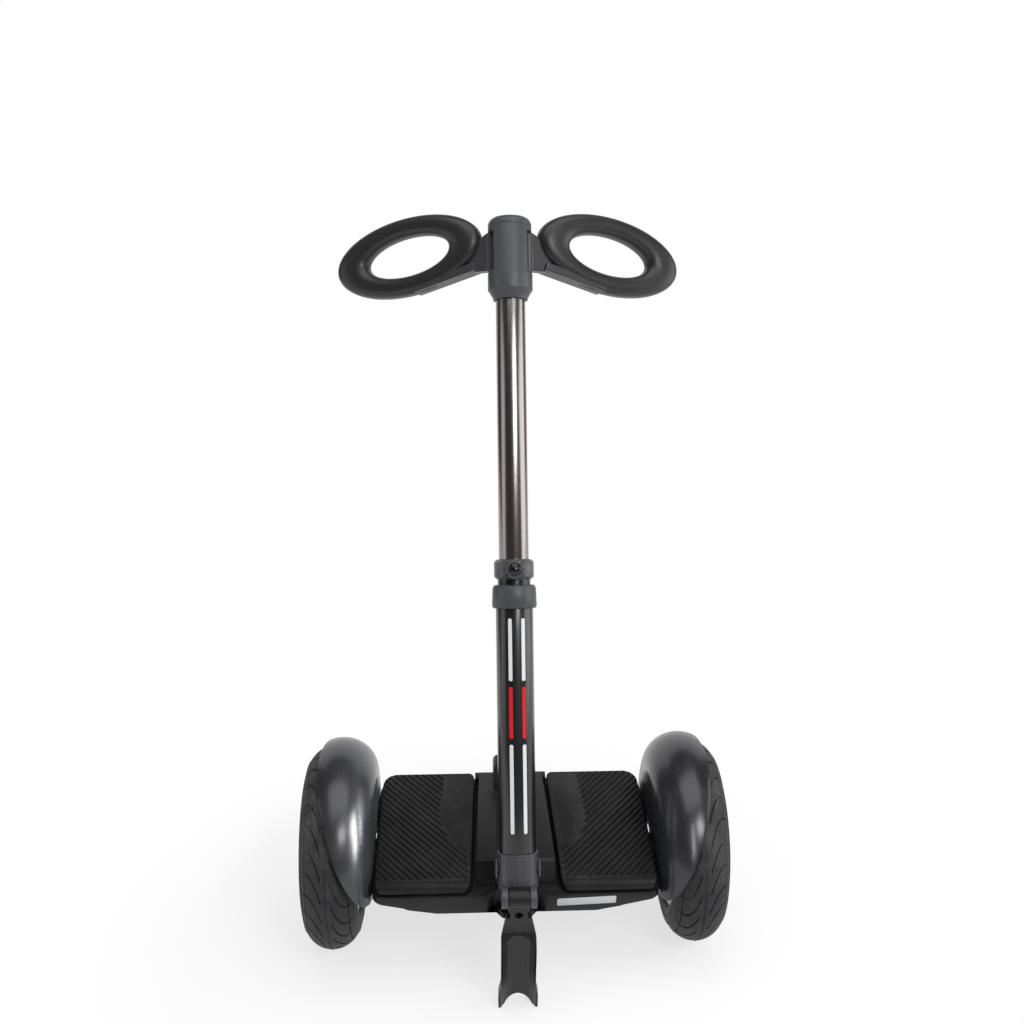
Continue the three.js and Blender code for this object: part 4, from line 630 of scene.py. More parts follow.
# lamps aim at the object's middle; those with "on" only make that piece shine
aim = Vector((0, 0, 0.35))
lamps = {
    "tallKey": {"at": (1.7, -0.5, 0.9), "size": (1.1, 1.3), "power": 135, "on": "fender_left"},
    "frontFill": {"at": (0.9, -2.0, 2.0), "size": (1.0, 0.8), "power": 26},
    "tallThin": {"at": (-0.06, -1.75, 1.1), "size": (0.09, 1.2), "power": 9, "on": "fender_right"},
    "windowRight": {"at": (2.1, -0.15, 0.95), "size": (1.7, 1.5), "power": 20},
    "windowLeft": {"at": (-2.1, -0.35, 0.95), "size": (1.1, 1.5), "power": 6},
    "ceiling": {"at": (0.1, -0.4, 2.6), "size": (2.2, 1.8), "power": 24},
}


def placeLamps():
    for name, lamp in lamps.items():
        data = bpy.data.lights.new(name, "AREA")
        data.shape = "RECTANGLE"
        data.size, data.size_y = lamp["size"]
        data.energy = lamp["power"]
        fixture = addObject(name, data)
        fixture.location = lamp["at"]
        fixture.rotation_euler = (aim - Vector(lamp["at"])).to_track_quat("-Z", "Y").to_euler()
        if "on" in lamp:
            fixture.light_linking.receiver_collection = bpy.data.collections.new("shine_" + lamp["on"])


placeLamps()


def seenDirectly(tree):
    path = tree.nodes.new("ShaderNodeLightPath").outputs
    near = mathNode(tree, "MAXIMUM", path["Is Camera Ray"], path["Is Glossy Ray"])
    return mathNode(tree, "MAXIMUM", near, path["Is Transmission Ray"])


# the white room: what the eye sees of it, what it gives off and the floor's soft shadow about the object
room = {"soft": 0.42, "softColour": (0.95, 0.97, 1), "floorSize": 14, "floorAt": (0, 2, 0),
        "floorSeen": (0.95, 0.95, 0.95), "floorLit": (0.5, 0.5, 0.5), "shadowFrom": 0.1, "shadowTo": 0.6,
        "lift": 0.7}


def makeWorld():
    world = bpy.data.worlds.new("studio")
    bpy.context.scene.world = world
    world.use_nodes = True
    tree = world.node_tree
    tree.nodes.clear()
    pale = addNode(tree, "ShaderNodeBackground", {"Strength": 1.0, "Color": (1, 1, 1)})
    soft = addNode(tree, "ShaderNodeBackground", {"Strength": room["soft"], "Color": room["softColour"]})
    mix = addNode(tree, "ShaderNodeMixShader",
                  {0: seenDirectly(tree), 1: soft.outputs[0], 2: pale.outputs[0]})
    addNode(tree, "ShaderNodeOutputWorld", {0: mix.outputs[0]})


def makeFloor():
    bpy.ops.mesh.primitive_plane_add(size=room["floorSize"], location=room["floorAt"])
    floor = bpy.context.object
    floor.name = "studioFloor"
    material, tree, bsdf = newMaterial("studioFloor")
    tone = mixColour(tree, seenDirectly(tree), room["floorLit"], room["floorSeen"])
    feed(tree, bsdf.inputs["Base Color"], tone)
    bsdf.inputs["Roughness"].default_value = 0.9
    bsdf.inputs["Specular IOR Level"].default_value = 0.1
    glow = addNode(tree, "ShaderNodeEmission", {"Strength": 1.0})
    reach = addNode(tree, "ShaderNodeVectorMath", {
        0: tree.nodes.new("ShaderNodeTexCoord").outputs["Object"],
        1: tuple(-x for x in room["floorAt"])}, operation="DISTANCE")
    away = rampNode(tree, reach.outputs["Value"], room["shadowFrom"], room["shadowTo"])
    lifted = mathNode(tree, "MAXIMUM", away, room["lift"])
    blend = addNode(tree, "ShaderNodeMixShader", {
        0: mathNode(tree, "MULTIPLY", lifted, seenDirectly(tree)), 1: bsdf.outputs[0], 2: glow.outputs[0]})
    feed(tree, tree.nodes["Material Output"].inputs[0], blend.outputs[0])
    floor.data.materials.append(material)


# dark walls and ceiling in front and at the sides, which only show in gloss and metal: the back stays white
curtain = {"radius": 4.2, "open": (42, 138), "openHigh": 46, "top": 88, "columns": 48, "rows": 12,
           "tone": (0.075, 0.066, 0.062)}


def curtainHangs(column, row):
    c = curtain
    inDoorway = c["open"][0] < 360 * (column + 0.5) / c["columns"] < c["open"][1]
    return not inDoorway or c["top"] * (row + 0.5) / c["rows"] >= c["openHigh"]


def hangCurtain():
    c = curtain
    points = []
    for row in range(c["rows"] + 1):
        up = math.radians(c["top"] * row / c["rows"])
        for column in range(c["columns"]):
            a = 2 * math.pi * column / c["columns"]
            points.append((c["radius"] * math.cos(up) * math.cos(a), c["radius"] * math.cos(up) * math.sin(a),
                           c["radius"] * math.sin(up)))
    faces = [face for n, face in enumerate(bands(c["columns"], c["rows"] + 1))
             if curtainHangs(n % c["columns"], n // c["columns"])]
    cloth = meshObject("studioCurtain", points, [], faces)
    material, tree, bsdf = newMaterial("studioCurtain")
    glow = addNode(tree, "ShaderNodeEmission", {"Color": c["tone"]})
    feed(tree, tree.nodes["Material Output"].inputs[0], glow.outputs[0])
    tree.nodes.remove(bsdf)
    cloth.data.materials.append(material)
    cloth.visible_camera = False
    cloth.visible_diffuse = False
    cloth.visible_shadow = False
    cloth.visible_transmission = False


makeWorld()
makeFloor()
hangCurtain()
bpy.context.scene.view_settings.view_transform = "Standard"
print("camera, lamps and floor placed")

# tyre: one pitch of the tread, with rows across the section and columns that lean along the hooked sipes;
# angles run across the section from the middle of the tread, offsets and depths are in millimetres
tyre = {"middle": 96, "height": 33.6, "halfWidth": 34.6, "pitches": 27, "bead": 104, "sipeFrom": 9,
        "sipeTo": 47, "tickTo": 60, "sipeDepth": 2.6, "tickShare": 0.6, "sipeReach": 1.3, "hook": 2.2,
        "halfSipe": 1.45, "sipeWall": 0.6, "widest": 2.3, "narrowing": 1.2, "fadeIn": 4.0, "fadeOut": 3.0,
        "linkAt": 49.5, "linkHalf": 1.0, "linkDepth": 1.5, "zigzag": 0.9, "zigzagSpan": 5, "seam": 0.5,
        "seamHalf": 0.8, "groove": 0.7, "grooveSpan": (1.3, 2.4), "rib": 0.7,
        "ribSpans": ((66, 68.5), (84, 86)),
        "columns": [-2.0, -1.45, -0.8, 0.8, 1.45, 2.0, 6, 10.5, 15.1, 19.7, 24.2],
        "rows": [0, 0.7, 1.1, 1.5, 2.2, 2.6, 5, 7, 9, 10, 11, 12.5, *range(14, 47, 2), 47.6, 48.3, 48.8, 50.2,
                 50.7, 52, 54, 56, 57, 58.5, 60, 62, 64, 65.8, 66.2, 68.3, 68.7, 72, 76, 80, 83.8, 84.2, 85.8,
                 86.2, 90, 94, 98, 101],
        "seat": [(30, 86.4), (26.7, 86.4), (26.7, 80.1), (18, 80.1), (14, 90)]}


def alongSipe(degrees):
    return min(max((abs(degrees) - tyre["sipeFrom"]) / (tyre["sipeTo"] - tyre["sipeFrom"]), 0.0), 1.0)


def sipeLead(degrees):
    return math.copysign(tyre["sipeReach"] * (1 - (1 - alongSipe(degrees)) ** tyre["hook"]), -degrees)


def sipeWidth(degrees):
    # wider along the tread where the sipe runs aslant, so that it stays about as wide across itself
    return 1 + (tyre["widest"] - 1) * (1 - alongSipe(degrees)) ** tyre["narrowing"]


def treadHeight(degrees, offset):
    angle = abs(degrees)
    if angle < tyre["seamHalf"]:
        return tyre["seam"]
    height = -tyre["groove"] if tyre["grooveSpan"][0] < angle < tyre["grooveSpan"][1] else 0.0
    fadeIn = min(max((angle - tyre["sipeFrom"]) / tyre["fadeIn"], 0), 1)
    fadeOut = min(max((tyre["tickTo"] - angle) / tyre["fadeOut"], 0), 1)
    inSipe = min(max((tyre["halfSipe"] - abs(offset)) / tyre["sipeWall"], 0), 1)
    share = 1.0 if angle < tyre["linkAt"] else tyre["tickShare"]
    sipe = tyre["sipeDepth"] * share * fadeIn * fadeOut * inSipe
    if abs(angle - tyre["linkAt"]) < tyre["linkHalf"]:
        sipe = max(sipe, tyre["linkDepth"])
    if any(low < angle < high for low, high in tyre["ribSpans"]):
        height += tyre["rib"]
    return height - sipe


def zigzagAt(degrees, offset, span):
    near = max(0.0, 1 - abs(abs(degrees) - tyre["linkAt"]) / tyre["zigzagSpan"])
    wave = abs(((2 * offset / span) % 1) * 2 - 1) * 2 - 1
    return math.copysign(tyre["zigzag"] * near * wave, degrees)


def treadPoint(degrees, offset, pitch, span):
    near = offset if offset < span / 2 else offset - span
    height = treadHeight(degrees, near)
    a = math.radians(degrees + zigzagAt(degrees, offset, span))
    r = tyre["middle"] + (tyre["height"] + height) * math.cos(a)
    wide = sipeWidth(degrees) if abs(near) <= tyre["columns"][5] else 1
    around = pitch * (sipeLead(degrees) + (offset - near + near * wide) / span)
    return (tyre["halfWidth"] + height) * math.sin(a), r * math.cos(around), r * math.sin(around)


def seatPoint(x, r, offset, pitch, span):
    around = pitch * (sipeLead(math.copysign(tyre["tickTo"], x)) + offset / span)
    return x, r * math.cos(around), r * math.sin(around)


def makeTyre(side, label):
    pitch = 2 * math.pi / tyre["pitches"]
    span = pitch * (tyre["middle"] + tyre["height"])
    columns = tyre["columns"] + [tyre["columns"][0] + span]
    marks = tyre["rows"] + [tyre["bead"]]
    seat = tyre["seat"] + [(-x, r) for x, r in reversed(tyre["seat"])]
    rows = [[treadPoint(degrees, offset, pitch, span) for offset in columns]
            for degrees in [-m for m in reversed(marks[1:])] + marks]
    rows += [[seatPoint(x, r, offset, pitch, span) for offset in columns] for x, r in seat]
    points = [p for row in rows for p in row]
    piece = localPiece("tyre_tread_" + label, (points, bands(len(columns), len(rows), True, around=False)))
    growTree(piece, aroundAxle, "tyreRubber", Repeats=tyre["pitches"])
    placePiece(piece, wheelFrame(side), 40)
    settle(piece, "wheel_" + label, "tyreRubber", "tyre_" + label, slot="tyre_rubber")


for side, label in bothSides:
    makeTyre(side, label)
print("tyres made")

# fenders: a thin shell about the tyre's section, its outer edge sweeping in to both tips
fender = {"middle": 96, "reach": 54.8, "bulge": 3, "flat": 58, "offset": 10, "height": 44, "wall": 3,
          "notch": 22, "tip": -69, "crown": 30, "edgeShare": 0.58, "bulgeShare": 3, "around": 112,
          "across": 34, "round": 1.0}


def makeFender(side, label):
    rows = []
    for i in range(fender["around"] + 1):
        a = math.pi * i / fender["around"]
        edge = fender["tip"] + (fender["crown"] - fender["tip"]) * math.sin(a) ** fender["edgeShare"]
        bulge = fender["bulge"] * math.sin(a) ** fender["bulgeShare"]
        loop = []
        for depth, order in ((0, 1), (fender["wall"], -1)):
            width = fender["reach"] + bulge - fender["offset"] - depth
            height = fender["height"] - depth
            line = [(fender["notch"], depth - fender["reach"]), (fender["flat"], depth - fender["reach"])]
            for j in range(fender["across"] + 1):
                b = math.radians(-90 + (edge + 90) * j / fender["across"])
                line.append((fender["middle"] + height * math.cos(b), width * math.sin(b) - fender["offset"]))
            loop += line[::order]
        rows.append([(x, -r * math.cos(a), r * math.sin(a)) for r, x in loop])
    piece = roundEdges(localPiece("fender_skin_" + label, loft(rows, False)), fender["round"], 3, 50)
    placePiece(piece, wheelFrame(side), 50)
    settle(piece, "deck", "fenderPlastic", "fender_" + label, slot="fender_plastic")


for side, label in bothSides:
    makeFender(side, label)
print("fenders made")

# deck housing, in two moulded halves: measured forward of the axle and up from it
housing = {"half": 178.5, "rear": -114, "front": 122, "lean": 3, "top": 18, "parting": -10, "rearCorner": 34,
           "frontCorner": 20, "edge": 6, "wall": 9, "skin": 4.5, "axleHole": 8.3, "round": 0.9, "over": 6}
hump = {"rearHalf": 43, "frontHalf": 50, "top": 45, "rearTop": 32, "draft": 4, "rise": 40, "facetTop": 86,
        "facetFoot": 101, "facetUp": 22, "edge": 7, "facetEdge": 4, "sideEdge": 3, "valleyHalf": 21,
        "valleyDepth": 7, "valleyRear": -66, "bridgeRear": 5, "bridge": 18, "bridgeTop": 30,
        "bridgeHalf": 48.6}
pod = {"half": 24, "top": 65, "rear": -110, "front": -64, "edge": 14, "shoulder": 8, "button": 9.3,
       "buttonAt": -86, "buttonFloor": 57.5, "charge": 8.8, "chargeUp": 34, "chargeFloor": -97.7}
nose = {"bossRadius": 24, "rear": 84, "front": 125, "rootHalf": 26, "tipHalf": 18, "top": 34, "bottom": -15,
        "axisUp": 39, "coneRadius": 12, "coneShare": 0.58, "spindle": 7, "notchRear": 112, "notchOuter": 42,
        "notchInner": 28, "chinHalf": 31, "chinTip": 17, "chinEdge": 6}
corner = {"x": 98, "forward": 122, "outerX": 180, "outerUp": 11, "rearForward": 40}
tray = {"half": 144.5, "rimHalf": 172.5, "up": -45, "rear": -76, "front": 74, "edge": 12, "gap": 0.3,
        "beamHalf": 146.8, "beamDepth": 45.3, "beamFloor": -20.3, "cellHalf": 139.5, "cellDepth": 52.3,
        "floor": -41, "round": 1.4}


def noseCorners(root, tip):
    return mirrored([(root, nose["rear"]), (root, nose["notchRear"]), (tip, nose["front"], 2)])


def liftCorners(piece):
    # the underside rises towards both front corners, in one flat facet each
    parting = housing["parting"]
    for side, _ in bothSides:
        first = Vector((side * corner["x"], -corner["forward"], parting))
        second = Vector((side * corner["outerX"], -corner["forward"], corner["outerUp"]))
        third = Vector((side * corner["outerX"], -corner["rearForward"], parting))
        normal = (second - first).cross(third - first).normalized()
        if normal.z > 0:
            normal.negate()
        work = bmesh.new()
        work.from_mesh(piece.data)
        everything = work.verts[:] + work.edges[:] + work.faces[:]
        cut = bmesh.ops.bisect_plane(work, geom=everything, plane_co=first, plane_no=normal, clear_outer=True)
        rim = [item for item in cut["geom_cut"] if isinstance(item, bmesh.types.BMEdge)]
        bmesh.ops.holes_fill(work, edges=rim)
        bmesh.ops.recalc_face_normals(work, faces=work.faces)
        work.to_mesh(piece.data)
        work.free()
    return piece


def makeLip():
    # the flat housing with its notched front edge and lifted corners
    h, over = housing, housing["over"]
    plan = mirrored([(h["half"], h["rear"], h["rearCorner"]), (h["half"], h["front"], h["frontCorner"])])
    side = [(h["rear"], h["parting"]), (h["rear"], h["top"], h["edge"]), (h["front"], h["top"], 1),
            (h["front"] - h["lean"], h["parting"])]
    lip = combine(solid(plan, h["parting"] - over, h["top"] + over, "XF"), "INTERSECT",
                  solid(side, -h["half"] - over, h["half"] + over, "FU"))
    ahead = h["front"] + 1
    for side, _ in bothSides:
        notch = [(side * nose["notchOuter"], ahead), (side * nose["notchInner"], nose["notchRear"]),
                 (0, nose["notchRear"]), (0, ahead)]
        combine(lip, "DIFFERENCE", solid(notch, h["parting"] - over, h["top"] + over, "XF"))
    return liftCorners(lip)


def makeCrest(sunk):
    h = housing
    wide = hump["frontHalf"] + hump["draft"]
    side = [(h["rear"], sunk), (h["rear"] + hump["draft"], hump["rearTop"], hump["edge"]),
            (-hump["rise"], (hump["rearTop"] + hump["top"]) / 2 + 1, hump["rise"]),
            (hump["rise"], hump["top"], hump["rise"]), (hump["facetTop"], hump["top"], hump["facetEdge"]),
            (hump["facetFoot"], hump["facetUp"], 2), (hump["facetFoot"] + 2, sunk)]
    end = mirrored([(wide, sunk - 1), (hump["frontHalf"], hump["top"], hump["sideEdge"])])
    plan = mirrored([(hump["rearHalf"], h["rear"] - 1), (hump["frontHalf"], h["front"] + 1)])
    return combine(solid(side, -wide - 1, wide + 1, "FU"), "INTERSECT",
                   solid(end, h["rear"] - 1, h["front"] + 1, "XU"), solid(plan, 0, hump["top"] + 1, "XF"))


def makePod():
    side = [(pod["rear"], 0), (pod["rear"] + hump["draft"], pod["top"], pod["shoulder"]),
            ((pod["rear"] + pod["front"]) / 2, pod["top"], pod["shoulder"]),
            (pod["front"], hump["top"] - hump["valleyDepth"], hump["edge"]), (pod["front"], 0)]
    end = mirrored([(pod["half"], -1), (pod["half"], pod["top"], pod["edge"])])
    return combine(solid(side, -pod["half"] - 1, pod["half"] + 1, "FU"), "INTERSECT",
                   solid(end, housing["rear"] - 1, 0, "XU"))


def makeNose():
    # the boss ends in a cone, and only the nose makes room for the steering head round it
    beak = solid(noseCorners(nose["rootHalf"], nose["tipHalf"]), housing["parting"], nose["top"], "XF")
    radius, front = nose["bossRadius"], -nose["front"]
    tip = (nose["coneRadius"], front)
    coneRear = front + (radius - nose["coneRadius"]) * nose["coneShare"]
    boss = turned([(0, front), tip, (radius, coneRear), (radius, -nose["rear"]), (0, -nose["rear"])], "Y",
                  z=nose["axisUp"])
    combine(beak, "UNION", boss)
    reach = 2 * radius
    reachRear = front + (reach - nose["coneRadius"]) * nose["coneShare"]
    ahead = front - housing["over"]
    space = turned([(0, front), tip, (reach, reachRear), (reach, ahead), (0, ahead)], "Y", z=nose["axisUp"],
                   sides=96)
    return combine(beak, "DIFFERENCE", space)


def makeUpperShell():
    h, over = housing, housing["over"]
    sunk = h["top"] - h["skin"]
    bridge = block(-hump["bridgeHalf"], hump["bridgeHalf"], h["rear"] + hump["bridgeRear"],
                   h["rear"] + hump["bridge"], sunk, hump["bridgeTop"])
    shell = combine(makeLip(), "UNION", makeCrest(sunk), bridge, makePod(), makeNose())
    valleyFloor = hump["top"] - hump["valleyDepth"]
    valley = solid(mirrored([(hump["valleyHalf"], valleyFloor, 1),
                             (hump["valleyHalf"] + hump["draft"], hump["top"] + over)]),
                   hump["valleyRear"], nose["rear"] + tray["gap"], "XU")
    inner = h["half"] - h["wall"]
    roomRear = h["rear"] + h["wall"]
    front = nose["rear"] + h["wall"]
    slant = corner["x"] + corner["forward"] - h["wall"]
    wideRoom = solid(mirrored([(inner, roomRear), (inner, slant - inner), (slant - front, front)]),
                     h["parting"] - over, sunk, "XF")
    humpInner = hump["rearHalf"] - h["skin"]
    humpRoom = block(-humpInner, humpInner, roomRear, nose["rear"] - h["skin"], 0,
                     hump["rearTop"] - h["skin"])
    bore = turned(rod(nose["spindle"], -nose["front"] - over, over - nose["rear"]), "Y", z=nose["axisUp"])
    button = turned(rod(pod["button"], pod["buttonFloor"], pod["top"] + over), "Z", y=-pod["buttonAt"])
    charge = turned(rod(pod["charge"], -pod["chargeFloor"], over - pod["rear"]), "Y", z=pod["chargeUp"])
    axles = [turned(rod(h["axleHole"], *span), "X") for span in
             ((inner - over, h["half"] + over), (-h["half"] - over, over - inner))]
    combine(shell, "DIFFERENCE", valley, wideRoom, humpRoom, bore, button, charge, *axles)
    roundEdges(mergeDoubles(shell, 0.03), h["round"], 3, 32)
    shell.name = "deck_cover"
    placePiece(shell, deckFrame, 32)
    settle(shell, "deck", "shellPlastic", "deck_shell_upper", slot="shell_plastic")


def makeLowerShell():
    h, over = housing, housing["over"]
    rim = h["parting"] - tray["gap"]
    edge = tray["rimHalf"] + over
    side = [(h["rear"] + h["lean"], rim), (tray["rear"], tray["up"], tray["edge"]),
            (tray["front"], tray["up"], tray["edge"]), (h["front"] - h["lean"], rim)]
    end = mirrored([(tray["half"], tray["up"], tray["edge"]), (tray["rimHalf"], rim)])
    slant = corner["x"] + corner["forward"] - h["lean"]
    plan = mirrored([(edge, h["rear"] - over), (edge, slant - edge), (slant - h["front"], h["front"])])
    shell = combine(solid(side, -edge, edge, "FU"), "INTERSECT",
                    solid(end, h["rear"] - over, h["front"] + over, "XU"),
                    solid(plan, tray["up"] - over, rim + over, "XF"))
    chinEnd = mirrored([(nose["chinTip"], nose["bottom"], nose["chinEdge"]), (nose["chinHalf"], rim + 1)])
    chin = combine(solid(noseCorners(nose["chinHalf"], nose["chinTip"]), nose["bottom"], rim, "XF"),
                   "INTERSECT", solid(chinEnd, 0, nose["front"] + over, "XU"))
    combine(shell, "UNION", chin)
    rooms = [block(-x, x, -y, y, floor, rim + over) for x, y, floor in
             ((tray["beamHalf"], tray["beamDepth"], tray["beamFloor"]),
              (tray["cellHalf"], tray["cellDepth"], tray["floor"]))]
    combine(shell, "DIFFERENCE", *rooms)
    roundEdges(shell, tray["round"], 3, 32)
    shell.name = "deck_tray"
    placePiece(shell, deckFrame, 32)
    settle(shell, "deck", "shellPlastic", "deck_shell_lower", slot="shell_plastic")


makeUpperShell()
makeLowerShell()
print("deck housing made")

# foot pads: aslant grooves over all but a smooth patch at the inner rear, and a plain front band
pad = {"top": 32, "bottom": 20.3, "rear": -107, "front": 119, "rearInner": 49.5, "frontInner": 56,
       "outer": 174.5, "corner": 13, "rearOuterCorner": 26, "frontRound": 11, "rearRound": 4,
       "topRound": 1.8, "over": 5,
       "grooveAngle": 51, "groovePitch": 7.6, "grooveRadius": 1.75, "grooveSunk": -0.3, "grooves": 18,
       "shortest": 12, "ribRound": 0.75, "runOut": 3, "runOutRise": 1.3, "step": 0.5, "reach": 200,
       "field": [(59, 44, 5), (78, 42, 10), (98, 4, 30), (88, -118), (186, -118), (186, 106), (59, 106)]}


def insideField(x, y, corners):
    inside = False
    for i, (ax, ay) in enumerate(corners):
        bx, by = corners[i - 1]
        if (ay > y) != (by > y) and x < (bx - ax) * (y - ay) / (by - ay) + ax:
            inside = not inside
    return inside


def grooveGuides(side):
    corners = [tuple(p) for p in roundedOutline(pad["field"])]
    a = math.radians(pad["grooveAngle"])
    along = (math.cos(a), -math.sin(a))
    across = (math.sin(a), math.cos(a))
    middle = ((pad["rearInner"] + pad["outer"]) / 2, (pad["rear"] + pad["front"]) / 2)
    points, edges = [], []
    steps = round(pad["reach"] / pad["step"])
    for k in range(-pad["grooves"], pad["grooves"] + 1):
        start = None
        for step in range(-steps, steps + 1):
            s = step * pad["step"]
            x = middle[0] + across[0] * k * pad["groovePitch"] + along[0] * s
            y = middle[1] + across[1] * k * pad["groovePitch"] + along[1] * s
            inside = insideField(x, y, corners)
            if inside and start is None:
                start = (x, y, s)
            if start is not None and not inside:
                if s - start[2] > pad["shortest"]:
                    addGuide(points, edges, side, start[:2], (x, y), along)
                start = None
    return meshObject("grooveGuides", points, edges, [])


def addGuide(points, edges, side, start, end, along):
    low = pad["top"] - pad["grooveSunk"]
    high = pad["top"] + pad["grooveRadius"] * pad["runOutRise"]
    run = pad["runOut"]
    first = len(points)
    for (x, y), inset, up in ((start, 0, high), (start, run, low), (end, -run, low), (end, 0, high)):
        points.append((side * (x + along[0] * inset), -(y + along[1] * inset), up))
    edges += [(first, first + 1), (first + 1, first + 2), (first + 2, first + 3)]


def makePad(side, label):
    plan = [(side * pad["rearInner"], pad["rear"], pad["corner"]),
            (side * pad["outer"], pad["rear"], pad["rearOuterCorner"]),
            (side * pad["outer"], pad["front"], pad["corner"]),
            (side * pad["frontInner"], pad["front"], pad["corner"])]
    profile = [(pad["rear"], pad["bottom"] - pad["over"]), (pad["rear"], pad["top"], pad["rearRound"]),
               (pad["front"], pad["top"], pad["frontRound"]), (pad["front"], pad["bottom"] - pad["over"])]
    piece = roundEdges(localPiece("pad_tread_" + label, prism(plan, pad["bottom"], pad["top"], "XF", 12)),
                       pad["topRound"], 4, 60)
    combine(piece, "INTERSECT", localPiece("profile", prism(profile, -pad["reach"], pad["reach"], "FU", 12)))
    guides = grooveGuides(side)
    growTree(piece, cutGrooves, "padRubber", Guides=guides, Radius=pad["grooveRadius"], Sides=16)
    bpy.data.objects.remove(guides)
    roundEdges(mergeDoubles(piece, 0.02), pad["ribRound"], 2, 42)
    placePiece(piece, deckFrame, 38)
    settle(piece, "pad_" + label, "padRubber", "foot_pad_" + label, slot="pad_rubber")
    print("pad", label, len(piece.data.polygons), "faces")


for side, label in bothSides:
    makePad(side, label)
print("foot pads made")

# castings, in the stem's, the wings' and the stand's own frames
boltCap = {"along": -20.7, "from": 24.8, "to": 27.5, "radius": 11, "dome": 2.2, "domeShare": 0.72,
           "socket": 3.2, "deep": 1.6}
leg = {"hexDrop": 24.5, "hex": 5.6, "neck": 10.6, "notchTop": -19.5, "notchFoot": -29.4, "deep": 30}
legFrame = stemFrame @ shift(0, -stance["hingeForward"], -stance["hingeDrop"]) @ turn(
    "X", stance["standLean"] + stance["rake"] - stance["noseDown"])


def makeSocket():
    # the solid's own shape, softened as a casting
    piece = nodeCopy("stem_socket")
    piece.data.transform(stemFrame.inverted())
    castPiece(piece, grain=0.6, passes=7, keep=0.5)
    piece.name = "socket_casting"
    placePiece(piece, stemFrame, 50)
    settle(piece, "steering_stem", "castPaint", "stem_socket", slot="cast_grey")


def makeLeg():
    # the stand's own solid, with its notches and hexagon hole cut crisp after the casting
    piece = nodeCopy("stand_leg")
    piece.data.transform(legFrame.inverted())
    castPiece(piece, grain=0.6, passes=5, keep=0.4)
    hexagon = turned(rod(leg["hex"], -leg["deep"], leg["deep"]), "Y", z=-leg["hexDrop"], sides=6)
    notches = [block(side * leg["neck"], side * leg["deep"], -leg["deep"], leg["deep"], leg["notchFoot"],
                     leg["notchTop"]) for side, _ in bothSides]
    combine(piece, "DIFFERENCE", hexagon, *notches)
    piece.name = "stand_casting"
    placePiece(piece, legFrame, 40)
    settle(piece, "stand", "standPaint", "stand_leg", slot="cast_grey")


hub = {"profile": [(18.2, 662), (21, 662), (21.6, 665), (25, 671), (27.2, 674), (27.2, 693.2), (26.5, 694),
                   (26.5, 751), (0, 751), (0, 694.3), (18.2, 694.3), (18.2, 662)],
       "pocketFront": 20.5, "pocketRear": 16, "pocketOuter": 30, "pocketLow": 697, "pocketHigh": 744,
       "pinRoom": 7.6, "round": 0.5}


def makeHub():
    h = hub
    body = turned(h["profile"], "Z", sides=128)
    span = (h["pocketLow"], h["pocketHigh"])
    outer = h["pocketOuter"]
    tools = []
    for side, _ in bothSides:
        tools += [block(side * h["pocketFront"], side * outer, -outer, outer, *span),
                  block(side * h["pocketRear"], side * outer, -outer, 0, *span),
                  turned(rod(h["pinRoom"], *span), "Z", x=side * stance["wingX"])]
    combine(body, "DIFFERENCE", *tools)
    roundEdges(mergeDoubles(body, 0.02), h["round"], 2, 34)
    body.name = "hub_moulding"
    placePiece(body, stemFrame, 34)
    settle(body, "mast", "hubPlastic", "handle_hub", slot="hub_plastic")


wing = {"knuckle": 7, "low": 0.3, "high": 46.7, "webHalf": 6, "webReach": 44, "armHalf": 12.5,
        "start": (-84, -36), "end": (-1, -42.2), "startHeight": 9.5, "endHeight": 11, "edge": 1.6,
        "armRound": 1.5, "round": 0.8, "web": [(30, 24, 8), (13, 39, 8), (7, 45, 2), (0, 45)]}


def makeWing(side, label):
    w = wing
    blank = turned(rod(w["knuckle"], w["low"], w["high"], w["round"]), "Z", sides=64)
    web = solid([(0, w["low"]), (w["webReach"], w["low"]), *w["web"]], -w["webHalf"], w["webHalf"], "XU")
    start, end = Vector(w["start"]), Vector(w["end"])
    across = (end - start).normalized().orthogonal()
    if across.y < 0:
        across.negate()
    corners = [start - across * w["startHeight"] / 2, end - across * w["endHeight"] / 2,
               end + across * w["endHeight"] / 2, start + across * w["startHeight"] / 2]
    arm = solid([(p.x, p.y, w["armRound"]) for p in corners], -w["armHalf"], w["armHalf"], "XU")
    roundEdges(arm, w["edge"], 3, 40)
    arm.data.transform(shift(stance["gripOut"], 0, stance["gripUp"]) @ turn("Y", stance["droop"]))
    combine(blank, "UNION", web, arm)
    blank.name = "wing_casting_" + label
    placePiece(castPiece(blank, grain=0.55, passes=5, keep=0.4), wingFrame(side), 50)
    settle(blank, "wing_" + label, "armPlastic", "wing_frame_" + label, slot="hub_plastic")
    return blank


collar = {"profile": [(20, 324), (20.8, 324), (24, 327.2), (24, 344.8), (20.8, 348), (18.3, 348), (18.3, 344),
                      (20, 344), (20, 324)],
          "inside": 20, "low": 324, "shelf": 344, "boss": 11.6, "bossReach": -28.5, "bossRound": 1,
          "middle": 336, "button": 8.2, "buttonFloor": -24, "petals": (-35, 0, 35), "petal": 1.5,
          "petalDeep": 3.4, "over": 3, "round": 0.5}


